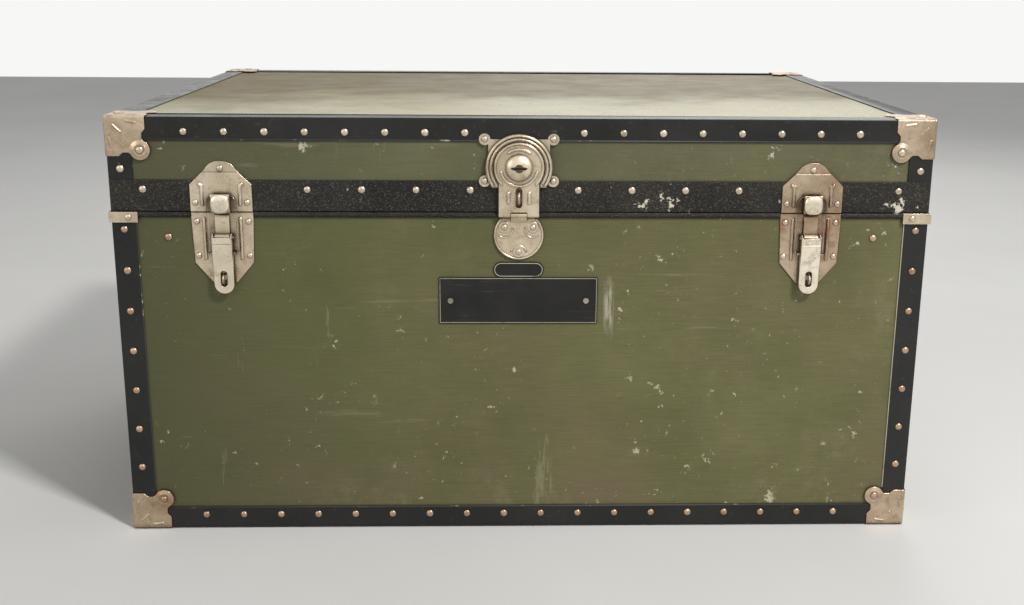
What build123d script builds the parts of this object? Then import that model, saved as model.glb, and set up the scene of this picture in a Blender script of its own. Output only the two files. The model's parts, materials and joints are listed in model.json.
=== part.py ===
from build123d import *
import math
import os

# A plywood travel trunk, closed, with nickelled fittings. Millimetres, +Z up, front towards -Y.
# Across is X. The floor is Z 0, and the middle of the overall box stands over the origin.

# Overall sizes, over the bindings
width = 914.0
depth = 660.0
seam_height = 381.0
lid_height = 105.0

# Walls and skins
panel_thickness = 9.0
binding_thickness = 1.5
cap_thickness = 1.5
lid_gap = 0.6
collar_thickness = 3.0
collar_rise = 14.0
collar_depth = 16.0
collar_clearance = 0.7

# Bindings
edge_binding_width = 26.0
upright_binding_width = 27.0
band_height = 35.0
rim_height = 6.5
rim_reach = 3.0
clip_length = 28.0
clip_thickness = 1.0
clip_height = 12.0

# Corner caps
cap_leg = 45.0
cap_lobe_place = 38.0
cap_lobe_radius = 11.0
cap_lobe_sides = 10
cap_bite_width = 15.0
cap_bite_depth = 4.0
cap_edge_bevel = 2.0
cap_rib_length = 15.0
cap_rib_width = 2.6
cap_rib_height = 0.8

# Rivets
rivet_radius = 4.2
rivet_height = 2.4
rivet_sides = 4
round_sides = 32
small_sides = 12
rivet_taper = 38.0
rivet_pitch_edge = 45.0
rivet_pitch_upright = 44.0
rivet_pitch_band = 58.0
single_rivet_inset = 61.0
single_rivet_drop = 29.0
fixing_radius = 3.4
fixing_height = 2.0

# Front fittings: the whole set sits a little to the left of the middle
fittings_x = -6.0
latch_offset = 329.0
plate_thickness = 1.5

# Latch keeper on the lid
keeper_width = 68.0
keeper_shoulder = 30.0
keeper_height = 56.0
keeper_crown_radius = 17.0
keeper_step_height = 42.0
hook_width = 21.0
hook_bottom = 2.0
hook_pocket = 6.0
hook_lip = 2.6
hook_lip_rise = 3.6

# Latch base on the body
base_width = 69.0
base_height = 80.0
base_straight = 57.0
base_foot_width = 26.0
base_gap = 0.8
rib_width = 4.0
wire_sides = 8
rib_height = 1.4

# Latch lever and bail
pivot_drop = 28.0
pivot_out = 6.5
lever_pivot_radius = 1.6
strap_width = 16.0
strap_barrel_radius = 3.8
lever_width = 22.0
lever_sheet = 1.3
lever_clearance = 0.8
lever_length = 64.0
lever_end_out = 8.0
bail_drop = 18.0
bail_reach = 65.0
bail_wire = 2.8
bail_width = 32.0
bail_play = 0.3
pivot_play = 0.15
latch_slot_width = 7.0
latch_slot_length = 18.0
latch_staple_wire = 2.4
latch_staple_span = 11.0
latch_staple_out = 16.0

# Lock
lock_height = 51.0
ear_across = 38.0
ear_up = 31.0
ear_down = 15.5
ear_radius = 6.5
lock_plate_half = 34.0
ring_outer = 37.0
ring_step = 33.0
ring_inner = 29.5
ring_rise = 4.0
ring_step_rise = 2.5
head_radius = 28.0
head_rim_width = 3.0
head_rim_rise = 0.8
hasp_sheet = 2.0
hasp_clearance = 2.4
neck_width = 45.0
hasp_barrel_radius = 2.8
hasp_pin_radius = 1.3
hasp_axis_drop = 2.4
hasp_middle_knuckle = 18.0
knuckle_gap = 0.3
hasp_slot_width = 7.0
hasp_slot_bottom = 8.4
hasp_slot_top = 31.0
staple_wire = 2.8
staple_span = 13.0
staple_out = 14.5
staple_centre = 19.4
dome_radius = 15.0
dome_height = 7.5
plug_radius = 4.6
plug_play = 0.15
plug_reach = 0.4
keyway_length = 20.0
keyway_width = 2.6
bolt_width = 12.0
bolt_thickness = 1.4
bolt_travel = 4.24
bolt_tip = 27.0
bolt_tail = 10.0
crank_radius = 3.0
crank_pin_radius = 1.0
disc_radius = 28.0
disc_drop = 26.0
disc_top_drop = 6.5
disc_fixing_across = 16.0
disc_fixing_drop = 17.0
disc_foot_fixing_drop = 45.0

# Name plate and badge, both left blank
name_plate_width = 180.0
name_plate_height = 54.0
name_plate_drop = 102.0
name_screw_across = 77.0
badge_width = 57.0
badge_height = 18.0
badge_drop = 66.0

# Rear hinges
hinge_offset = 300.0
hinge_width = 70.0
hinge_leaf = 34.0
hinge_barrel_radius = 3.5
hinge_pin_radius = 2.0
hinge_knuckles = 3

# End handles
handle_height = 262.0
handle_length = 210.0
handle_width = 28.0
handle_thickness = 8.0
handle_bow = 33.0
handle_end = 26.0
handle_foot_radius = 26.0
handle_cap_length = 36.0
handle_cap_width = 46.0
handle_cap_thickness = 1.6
handle_play = 0.2

# Worked out from the sizes above
height = seam_height + lid_height
panel_x = width / 2 - binding_thickness
panel_y = depth / 2 - binding_thickness
panel_bottom = cap_thickness + binding_thickness
panel_top = height - binding_thickness
lid_bottom = seam_height + lid_gap
band_top = lid_bottom + band_height
inner_x = panel_x - panel_thickness
inner_y = panel_y - panel_thickness
lock_centre = seam_height + lock_height
axis_height = seam_height - hasp_axis_drop
pivot_height = seam_height - pivot_drop
bail_height = pivot_height - bail_drop
bar_height = bail_height + bail_reach
keeper_out = binding_thickness + plate_thickness
bar_out = keeper_out + bail_play + bail_wire / 2
hasp_out = keeper_out + hasp_clearance
hasp_axis_out = hasp_out + hasp_sheet - hasp_barrel_radius
hinge_axis_out = binding_thickness + plate_thickness + hinge_barrel_radius - 1.3
hinge_axis_height = seam_height + lid_gap / 2
front_reach = latch_staple_out
rear_reach = hinge_axis_out + hinge_barrel_radius
centre_shift = (front_reach - rear_reach) / 2

sides = {
    "front": Plane(origin=(0, -panel_y, 0), x_dir=(1, 0, 0), z_dir=(0, -1, 0)),
    "back": Plane(origin=(0, panel_y, 0), x_dir=(-1, 0, 0), z_dir=(0, 1, 0)),
    "left": Plane(origin=(-panel_x, 0, 0), x_dir=(0, -1, 0), z_dir=(-1, 0, 0)),
    "right": Plane(origin=(panel_x, 0, 0), x_dir=(0, 1, 0), z_dir=(1, 0, 0)),
}
half_run = {"front": panel_x, "back": panel_x, "left": panel_y, "right": panel_y}
parts = {}


def block(x0, x1, y0, y1, z0, z1):
    """A box between two corners."""
    size = Box(x1 - x0, y1 - y0, z1 - z0)
    return Pos((x0 + x1) / 2, (y0 + y1) / 2, (z0 + z1) / 2) * size


def on_side(side, shape, out, thickness, taper=0.0):
    """A flat outline on one side of the trunk, raised by `out` from the wall and pushed outwards."""
    return extrude(sides[side].offset(out) * shape, thickness, taper=taper)


def slab(side, u0, u1, z0, z1, out0, out1):
    """A flat strip on one side, given by its run, its heights and how far out it stands."""
    outline = Pos((u0 + u1) / 2, (z0 + z1) / 2) * Rectangle(u1 - u0, z1 - z0)
    return on_side(side, outline, out0, out1 - out0)


def across(profile, u0, u1, side="front"):
    """A profile of (out, height) points swept across one side from u0 to u1."""
    plane = sides[side]
    section = Plane(origin=plane.from_local_coords((u0, 0, 0)), x_dir=plane.z_dir, z_dir=plane.x_dir)
    return extrude(section * profile, u1 - u0)


def section_point(side, out, up):
    """The place of a sideways section's own x and y for a given reach and height."""
    plane = sides[side]
    flip = 1 if plane.z_dir.cross(Vector(0, 0, 1)).dot(plane.x_dir) > 0 else -1
    return out, up * flip


def profile_up(side, points):
    """A closed outline from (out, height) points, for `across`."""
    return make_face(Polyline([section_point(side, *point) for point in points], close=True))


def rod(side, u0, u1, out, up, radius):
    """A round bar that runs across one side."""
    return across(Pos(*section_point(side, out, up)) * Circle(radius), u0, u1, side)


def rivet(side, u, up, out, radius=rivet_radius, rise=rivet_height):
    """One low, bevelled rivet head."""
    outline = Pos(u, up) * RegularPolygon(radius, rivet_sides)
    return on_side(side, outline, out, rise, taper=rivet_taper)


def spread(first, last, pitch):
    """Places at an even pitch, as near to `pitch` as the run allows, with one at each end."""
    count = max(1, round((last - first) / pitch))
    return [first + (last - first) * i / count for i in range(count + 1)]


def group(pieces):
    """Several separate solids in one node."""
    return Compound([solid for piece in pieces for solid in piece.solids()])


def panels():
    """The ply walls of the body and of the lid, butted at the corners."""
    top_under = panel_top - panel_thickness
    for name, z0, z1 in (("body", panel_bottom, seam_height), ("lid", lid_bottom, top_under)):
        parts[name + "_front"] = block(-panel_x, panel_x, -panel_y, -inner_y, z0, z1)
        parts[name + "_back"] = block(-panel_x, panel_x, inner_y, panel_y, z0, z1)
        parts[name + "_left"] = block(-panel_x, -inner_x, -inner_y, inner_y, z0, z1)
        parts[name + "_right"] = block(inner_x, panel_x, -inner_y, inner_y, z0, z1)
    floor_top = panel_bottom + panel_thickness
    parts["body_bottom"] = block(-inner_x, inner_x, -inner_y, inner_y, panel_bottom, floor_top)
    parts["lid_top"] = block(-panel_x, panel_x, -panel_y, panel_y, top_under, panel_top)


def collar():
    """The three thin strips inside the body that the lid closes round."""
    z0 = seam_height - collar_depth
    z1 = seam_height + collar_rise
    x1 = inner_x - collar_clearance
    y1 = inner_y - collar_clearance
    x0 = x1 - collar_thickness
    y0 = y1 - collar_thickness
    back = inner_y - collar_clearance - panel_thickness
    strips = [block(-x1, x1, -y1, -y0, z0, z1)]
    strips += [block(side * (x0 + x1) / 2 - collar_thickness / 2,
                     side * (x0 + x1) / 2 + collar_thickness / 2,
                     -y0, back, z0, z1) for side in (-1, 1)]
    # packing strips glue the collar to the walls below the seam
    strips[0] += block(-x1, x1, -inner_y, -y1, z0, seam_height - collar_clearance)
    for i, side in ((1, -1), (2, 1)):
        x = sorted((side * x1, side * inner_x))
        strips[i] += block(x[0], x[1], -y0, back, z0, seam_height - collar_clearance)
    parts["collar"] = group(strips)


def angle_up(sx, sy, z0, z1, leg):
    """One upright angle binding round a corner of the box."""
    wide = block(0, leg, 0, binding_thickness, z0, z1) + block(0, binding_thickness, 0, leg, z0, z1)
    wide = Pos(-width / 2, -depth / 2, 0) * wide
    if sx > 0:
        wide = mirror(wide, Plane.YZ)
    if sy > 0:
        wide = mirror(wide, Plane.XZ)
    return wide


def edge_angle(side, at_top):
    """One length of angle binding along a top or base edge."""
    run = half_run[side] + binding_thickness
    if side in ("left", "right"):
        run -= edge_binding_width
    leg = edge_binding_width
    if at_top:
        upright = slab(side, -run, run, height - leg, height, 0, binding_thickness)
        flat = slab(side, -run, run, panel_top, height, binding_thickness - leg, 0)
    else:
        upright = slab(side, -run, run, cap_thickness, cap_thickness + leg, 0, binding_thickness)
        flat = slab(side, -run, run, cap_thickness, panel_bottom, binding_thickness - leg, 0)
    return upright + flat


def bindings():
    """The angle bindings of every edge, the wide band of the lid and the half-round rim of the body."""
    base_top = cap_thickness + edge_binding_width
    corners = [(sx, sy) for sx in (-1, 1) for sy in (-1, 1)]
    rim_bottom = seam_height - rim_height
    parts["body_upright_bindings"] = group(
        [angle_up(sx, sy, base_top, rim_bottom, upright_binding_width) for sx, sy in corners])
    parts["lid_upright_bindings"] = group(
        [angle_up(sx, sy, band_top, height - edge_binding_width, upright_binding_width)
         for sx, sy in corners])
    parts["base_bindings"] = group([edge_angle(side, False) for side in sides])
    parts["lid_edge_bindings"] = group([edge_angle(side, True) for side in sides])
    band = []
    rim = []
    for side in sides:
        run = half_run[side] + (binding_thickness if side in ("front", "back") else 0)
        band.append(slab(side, -run, run, lid_bottom, band_top, 0, binding_thickness))
        centre = section_point(side, 0, seam_height - rim_height / 2)
        bow = [math.radians(-90 + 30 * k) for k in range(7)]
        half_round = make_face(Polyline([(rim_reach * math.cos(a), rim_height / 2 * math.sin(a)) for a in bow],
                                        close=True))
        length = half_run[side] + (rim_reach if side in ("front", "back") else 0)
        rim.append(across(Pos(*centre) * half_round, -length, length, side))
    cuts = [slab("front", x - w / 2, x + w / 2, rim_bottom - 1, seam_height + 1, -1, rim_reach + 1)
            for x, w in fitting_gaps()]
    cuts += [slab("back", x - w / 2, x + w / 2, rim_bottom - 1, seam_height + 1, -1, rim_reach + 1)
             for x, w in hinge_gaps()]
    parts["lid_band"] = group(band)
    parts["body_rim"] = group([strip - cuts for strip in rim])


def fitting_gaps():
    """Where the front rim is cut away for the latches and the lock hinge."""
    return [(fittings_x - latch_offset, base_width + 1),
            (fittings_x, neck_width + 1),
            (fittings_x + latch_offset, base_width + 1)]


def hinge_gaps():
    """Where the rear rim is cut away for the hinge leaves."""
    return [(-hinge_offset, hinge_width + 1), (hinge_offset, hinge_width + 1)]


def rim_clips():
    """The small wrapped clips that hold the rim at the four body corners."""
    z0 = seam_height - clip_height
    z1 = seam_height - rim_height
    clips = []
    for sx in (-1, 1):
        for sy in (-1, 1):
            inner = binding_thickness
            outer = rim_reach + clip_thickness
            low = block(-outer, clip_length, -outer, clip_length, z0, z1)
            low -= block(-inner, clip_length + 1, -inner, clip_length + 1, z0 - 1, z1 + 1)
            high = block(-outer, clip_length, -outer, clip_length, z1, seam_height)
            high -= block(-rim_reach, clip_length + 1, -rim_reach, clip_length + 1, z1 - 1, seam_height + 1)
            clip = Pos(-panel_x, -panel_y, 0) * (low + high)
            if sx > 0:
                clip = mirror(clip, Plane.YZ)
            if sy > 0:
                clip = mirror(clip, Plane.XZ)
            clips.append(clip)
    parts["rim_clips"] = group(clips)


def cap_outline():
    """One face of a corner cap, from the trunk's corner at the origin."""
    leg = cap_leg
    half_bite = cap_bite_width / 2
    waist = leg - cap_bite_depth
    middle = cap_lobe_place - cap_lobe_radius - half_bite * 0.6
    wave = [(leg, 0), (leg, middle - half_bite), (waist, middle - half_bite * 0.4),
            (waist, middle + half_bite * 0.4), (leg - 1, middle + half_bite)]
    corner = [(cap_lobe_place, cap_lobe_place)]
    outline = [(0, 0), *wave, *corner, *[(y, x) for x, y in reversed(wave)]]
    face = make_face(Polyline(outline, close=True))
    lobe = RegularPolygon(cap_lobe_radius, cap_lobe_sides)
    return face + Pos(cap_lobe_place, cap_lobe_place) * lobe


def corner_cap():
    """The cap of the left front base corner, with the box's corner at the origin."""
    t = cap_thickness
    front = Plane(origin=(-t, 0, -t), x_dir=(1, 0, 0), z_dir=(0, -1, 0))
    left = Plane(origin=(0, -t, -t), x_dir=(0, 1, 0), z_dir=(1, 0, 0))
    under = Plane(origin=(-t, -t, 0), x_dir=(1, 0, 0), z_dir=(0, 0, 1))
    cap = extrude(front * cap_outline(), t)
    cap += extrude(left * cap_outline(), -t)
    cap += extrude(under * cap_outline(), -t)
    outer = [edge for edge in cap.edges().filter_by(GeomType.LINE)
             if edge.length > cap_leg - 1 and sum(abs(c + t) < 0.01 for c in edge.center()) == 2]
    cap = chamfer(outer, cap_edge_bevel)
    middle = cap_lobe_place * 0.55
    for plane, sign in ((front, 1), (left, -1), (under, -1)):
        for turn, reach in ((45, 0.62), (10, 1.0), (80, 1.0)):
            x = middle * reach * math.cos(math.radians(turn)) * 1.35 + 2
            y = middle * reach * math.sin(math.radians(turn)) * 1.35 + 2
            rib = Pos(x, y) * Rot(0, 0, turn) * Rectangle(cap_rib_length * 0.8, cap_rib_width)
            cap += extrude(plane.offset(sign * t) * rib, sign * cap_rib_height, taper=30)
    return cap


def corner_caps():
    """Eight caps: four that the trunk stands on and four on the lid."""
    base = Pos(-width / 2, -depth / 2, cap_thickness) * corner_cap()
    top = mirror(base, Plane(origin=(0, 0, (cap_thickness + height) / 2), z_dir=(0, 0, 1)))
    for level, cap in (("base", base), ("lid", top)):
        for along, sy in (("front", -1), ("back", 1)):
            for end, sx in (("left", -1), ("right", 1)):
                piece = cap
                if sx > 0:
                    piece = mirror(piece, Plane.YZ)
                if sy > 0:
                    piece = mirror(piece, Plane.XZ)
                parts[f"{level}_cap_{along}_{end}"] = piece


def binding_rivets():
    """The rivet heads along every binding, of the body and of the lid."""
    body = []
    lid = []
    out = binding_thickness
    edge_inset = edge_binding_width * 0.62
    upright_inset = upright_binding_width / 2
    cap_clear = cap_leg + 38
    low = cap_thickness + edge_inset
    high = height - edge_inset
    band_middle = lid_bottom + band_height * 0.7
    lobe = cap_lobe_place - cap_thickness
    for side in sides:
        run = half_run[side]
        busy = []
        if side == "front":
            busy = [(fittings_x, ear_across + 2 * ear_radius)]
            for sign in (-1, 1):
                busy.append((fittings_x + sign * latch_offset, keeper_width / 2 + rivet_radius))
        if side == "back":
            busy = [(sign * hinge_offset, hinge_width / 2 + rivet_radius) for sign in (-1, 1)]
        for u in spread(-run + cap_clear, run - cap_clear, rivet_pitch_edge):
            body.append(rivet(side, u, low, out))
            if side != "front" or abs(u - fittings_x) > busy[0][1]:
                lid.append(rivet(side, u, high, out))
        for u in spread(-run + cap_leg - 10, run - cap_leg + 10, rivet_pitch_band):
            if all(abs(u - centre) > reach for centre, reach in busy):
                lid.append(rivet(side, u, band_middle, out))
        for sign in (-1, 1):
            u = sign * (run + out - upright_inset)
            for up in spread(cap_leg + 33, seam_height - 20, rivet_pitch_upright):
                body.append(rivet(side, u, up, out))
            lid.append(rivet(side, u, (band_top + height - cap_leg) / 2, out))
            corner = sign * (run + out - lobe)
            cap_out = out + cap_thickness
            body.append(rivet(side, corner, cap_thickness + lobe, cap_out))
            lid.append(rivet(side, corner, height - lobe, cap_out))
    for sign in (-1, 1):
        inset = sign * (width / 2 - single_rivet_inset)
        body.append(rivet("front", inset, seam_height - single_rivet_drop, 0))
    parts["body_rivets"] = group(body)
    parts["lid_rivets"] = group(lid)


def keeper_outline(centre):
    """The keeper's outline: a flat foot, straight sides, hollow shoulders and a round crown."""
    w = keeper_width / 2
    z0 = lid_bottom
    shoulder = z0 + keeper_shoulder
    top = z0 + keeper_height
    crown = keeper_crown_radius
    line = Polyline((0, z0), (w, z0), (w, shoulder))
    ramp = Line((w, shoulder), (crown, top - crown * 0.55))
    arc = ThreePointArc((crown, top - crown * 0.55), (crown * 0.62, top - crown * 0.15), (0, top))
    half = make_face([*line.edges(), ramp, arc, Line((0, top), (0, z0))])
    return Pos(centre, 0) * (half + mirror(half, Plane.YZ))


def keeper(centre):
    """The latch plate of the lid: a stepped plate with two ribs and the hook for the bail."""
    step = lid_bottom + keeper_step_height
    outline = keeper_outline(centre)
    below = Pos(centre, lid_bottom + keeper_step_height / 2) * Rectangle(keeper_width, keeper_step_height)
    above_height = keeper_height - keeper_step_height
    above = Pos(centre, step + above_height / 2) * Rectangle(keeper_width, above_height)
    plate = on_side("front", outline & below, binding_thickness, plate_thickness)
    plate += on_side("front", outline & above, 0, plate_thickness)
    strip = Pos(centre, step) * Rectangle(keeper_width, 2 * plate_thickness)
    plate += on_side("front", outline & strip, 0, keeper_out)
    for sign in (-1, 1):
        plate += raised_rib(centre + sign * 21, lid_bottom + 6, lid_bottom + 31, keeper_out)
    half = hook_width / 2
    lip_out = keeper_out + hook_pocket
    hook_top = bar_height - bail_wire / 2 - bail_play + hook_lip_rise
    floor = hook_top - hook_lip_rise
    z0 = lid_bottom - hook_bottom
    points = [(keeper_out - 0.5, lid_bottom), (keeper_out + 1.5, z0), (lip_out + hook_lip * 0.6, z0 + 3),
              (lip_out + hook_lip, z0 + 9), (lip_out + hook_lip, floor), (lip_out + hook_lip * 0.6, hook_top),
              (lip_out, hook_top), (lip_out, floor), (keeper_out - 0.5, floor)]
    hook = across(profile_up("front", points), centre - half, centre + half)
    upright = [edge for edge in hook.edges().filter_by(GeomType.LINE)
               if edge.length > 6 and abs(abs(edge.center().X - centre) - half) < 0.01
               and edge.center().Y < -panel_y - keeper_out - hook_pocket]
    hook = fillet(upright, 1.8) if upright else hook
    return plate + hook


def raised_rib(u, z0, z1, out, wide=rib_width, rise=rib_height):
    """A low pressed rib that runs up a plate."""
    outline = Pos(u, (z0 + z1) / 2) * Rectangle(wide, z1 - z0)
    return on_side("front", outline, out, rise, taper=35)


def latch_base(centre):
    """The body plate of a latch, with its strap bent over to carry the lever's pivot pin."""
    top = seam_height - base_gap
    half = base_width / 2
    foot = base_foot_width / 2
    points = [(-half, top), (half, top), (half - 2, top - base_straight), (foot, top - base_height),
              (-foot, top - base_height), (-half + 2, top - base_straight)]
    plate = on_side("front", Pos(centre, 0) * make_face(Polyline(points, close=True)), 0, plate_thickness)
    for sign in (-1, 1):
        plate += raised_rib(centre + sign * 20, top - 54, top - 5, plate_thickness)
    strap_in = pivot_out - strap_barrel_radius
    sheet = plate_thickness + 0.4
    points = [(plate_thickness - 0.5, top - 2), (plate_thickness + 1, top - 2),
              (strap_in + sheet, top - 8), (strap_in + sheet, pivot_height),
              (strap_in, pivot_height), (strap_in, top - 8 - sheet / 2),
              (plate_thickness - 0.5, top - 6)]
    half_strap = strap_width / 2
    strap = across(profile_up("front", points), centre - half_strap, centre + half_strap)
    strap += rod("front", centre - half_strap, centre + half_strap, pivot_out, pivot_height,
                 strap_barrel_radius)
    bore = lever_pivot_radius + pivot_play
    strap -= rod("front", centre - half_strap - 1, centre + half_strap + 1, pivot_out, pivot_height, bore)
    return plate + strap


def lever(centre):
    """The latch lever: a channel that turns on the pivot pin, with a slotted round end."""
    half = lever_width / 2
    web_in = pivot_out + strap_barrel_radius + lever_clearance
    web_out = web_in + lever_sheet
    bend = bail_height - 2
    low = pivot_height - 36
    end = pivot_height - lever_length
    top = pivot_height + 1
    points = [(web_in, top), (web_out, top), (web_out, bend), (lever_end_out + lever_sheet, low),
              (lever_end_out + lever_sheet, end), (lever_end_out, end), (lever_end_out, low - 0.4),
              (web_in, bend - 0.4)]
    web = across(profile_up("front", points), centre - half, centre + half)
    cheek = [(web_out - 0.2, top), (web_out - 0.2, bend), (lever_end_out + lever_sheet - 0.2, low),
             (lever_end_out - 1, low), (4.2, bail_height - 4), (3.6, bail_height + 4),
             (3.4, pivot_height - 3), (4.4, pivot_height + 4), (9.0, pivot_height + 4.4)]
    for sign in (-1, 1):
        inner = sign * (half - lever_sheet)
        outer = sign * half
        web += across(profile_up("front", cheek), centre + min(inner, outer), centre + max(inner, outer))
    slot = Rectangle(latch_slot_width, latch_slot_length)
    slot = chamfer(slot.vertices(), latch_slot_width * 0.3)
    slot = Pos(centre, latch_staple_height()) * slot
    web -= on_side("front", slot, 0, 30)
    round_end = Pos(centre, end + half) * (Rectangle(4 * half, 2 * half) - RegularPolygon(half, 2 * small_sides))
    round_end &= Pos(centre, end + half / 2) * Rectangle(4 * half, half)
    web -= on_side("front", round_end, 0, 30)
    web -= rod("front", centre - half - 1, centre + half + 1, pivot_out, pivot_height, lever_pivot_radius)
    web -= rod("front", centre - half - 1, centre + half + 1, pivot_out, bail_height,
               bail_wire / 2 + pivot_play)
    groove = [(web_out - 0.6, pivot_height - 7), (web_out + 0.5, pivot_height - 6),
              (web_out + 0.5, pivot_height - 8)]
    return web - across(profile_up("front", groove), centre - half, centre + half)


def latch_staple_height():
    """How high the padlock staple of a latch sits."""
    return pivot_height - lever_length + 8 + latch_slot_length / 2


def bail(centre):
    """The wire loop of a latch, with its two ends turned into the lever's cheeks."""
    half = bail_width / 2
    z1 = bar_height
    z0 = bail_height
    bend = 4.0
    foot = lever_width / 2 - lever_sheet
    lean = (bar_out - pivot_out) / bail_reach

    def at(u, up):
        return Vector(centre + u, -panel_y - pivot_out - lean * (up - z0), up)

    start = at(-foot, z0)
    pieces = [Line(start, at(-half, z0)), Line(at(-half, z0), at(-half, z1 - bend))]
    pieces.append(Line(at(-half, z1 - bend), at(-half + bend, z1)))
    pieces.append(Line(at(-half + bend, z1), at(half - bend, z1)))
    pieces.append(Line(at(half - bend, z1), at(half, z1 - bend)))
    pieces += [Line(at(half, z1 - bend), at(half, z0)), Line(at(half, z0), at(foot, z0))]
    path = Wire(pieces)
    profile = Plane(origin=start, z_dir=(-1, 0, 0)) * RegularPolygon(bail_wire / 2, wire_sides)
    return sweep(profile, path=path, transition=Transition.RIGHT)


def staple(centre, middle, span, wire, foot_out, out):
    """A padlock staple: a round-wire loop that stands straight out of its plate."""
    half = (span - wire) / 2
    straight = out - wire / 2 - half

    def at(reach, up):
        return Vector(centre, -panel_y - reach, middle + up)

    path = Wire([
        Line(at(foot_out, -half), at(straight, -half)),
        *Polyline(*[at(straight + half * math.cos(a), half * math.sin(a))
                    for a in (math.radians(-90 + 45 * k) for k in range(5))]).edges(),
        Line(at(straight, half), at(foot_out, half)),
    ])
    profile = Plane(origin=at(foot_out, -half), z_dir=(0, -1, 0)) * RegularPolygon(wire / 2, wire_sides)
    return sweep(profile, path=path, transition=Transition.RIGHT)


def latches():
    """Both latches: keeper, base, pins, lever, bail and padlock staple."""
    staples = []
    pins = []
    for name, sign in (("left", -1), ("right", 1)):
        centre = fittings_x + sign * latch_offset
        parts["keeper_" + name] = keeper(centre)
        parts["latch_base_" + name] = latch_base(centre)
        parts["lever_" + name] = lever(centre)
        parts["bail_" + name] = bail(centre)
        reach = lever_width / 2 + 1.2
        pins.append(rod("front", centre - reach, centre + reach, pivot_out, pivot_height,
                        lever_pivot_radius))
        staples.append(staple(centre, latch_staple_height(), latch_staple_span, latch_staple_wire,
                              plate_thickness, latch_staple_out))
    parts["lever_pin_left"], parts["lever_pin_right"] = pins
    parts["latch_staples"] = group(staples)


def lock_plate():
    """The lid plate of the lock: four ears, a raised double ring and a foot behind the hasp."""
    c = lock_centre
    x = fittings_x
    outline = Pos(x, c) * RegularPolygon(ring_outer, round_sides)
    outline += Pos(x, c + (ear_up - ear_down) / 2) * Rectangle(2 * lock_plate_half, ear_up + ear_down)
    for sx in (-1, 1):
        for up in (ear_up, -ear_down):
            outline += Pos(x + sx * ear_across, c + up) * RegularPolygon(ear_radius, small_sides)
    foot_bottom = lid_bottom + 3
    foot = Pos(x, (foot_bottom + c) / 2) * Rectangle(neck_width - 1, c - foot_bottom)
    outline += foot
    trim = Pos(x, lid_bottom - 40) * Rectangle(2 * width, 2 * 40 + 6)
    outline -= trim
    for sx in (-1, 1):
        low = c - ear_down - ear_radius
        gap_width = ring_outer
        outline -= Pos(x + sx * (neck_width / 2 + gap_width / 2), low - 20) * Rectangle(gap_width, 40)
    plate = on_side("front", outline, binding_thickness, plate_thickness)
    ring = RegularPolygon(ring_outer, round_sides) - RegularPolygon(ring_step, round_sides)
    inner = RegularPolygon(ring_step, round_sides) - RegularPolygon(ring_inner, round_sides)
    opening = Pos(0, -ring_outer / 2 - 8) * Rectangle(neck_width + 3, ring_outer + 10)
    below = Pos(0, -ear_down - ear_radius - 25) * Rectangle(3 * ring_outer, 50)
    ring = Pos(x, c) * (ring - opening - below)
    inner = Pos(x, c) * (inner - opening - below)
    plate += on_side("front", ring, keeper_out, ring_step_rise)
    plate += on_side("front", inner, keeper_out, ring_rise)
    notch_out = hasp_out + 0.2
    plate -= slab("front", x - bolt_width / 2 - 0.6, x + bolt_width / 2 + 0.6,
                  c + ring_inner - 4, c + bolt_tip + bolt_travel + 1, keeper_out, notch_out)
    return plate


def arc_rib(radius, start, size, wide, out, rise):
    """A raised rib along an arc of the hasp's head."""
    ring = RegularPolygon(radius + wide / 2, round_sides) - RegularPolygon(radius - wide / 2, round_sides)
    a, b = math.radians(start), math.radians(start + size)
    far = 3 * radius
    middle = (a + b) / 2
    wedge = make_face(Polyline([(0, 0), (far * math.cos(a), far * math.sin(a)),
                                (far * math.cos(middle), far * math.sin(middle)),
                                (far * math.cos(b), far * math.sin(b))], close=True))
    return on_side("front", Pos(fittings_x, lock_centre) * (ring & wedge), out, rise)


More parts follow.
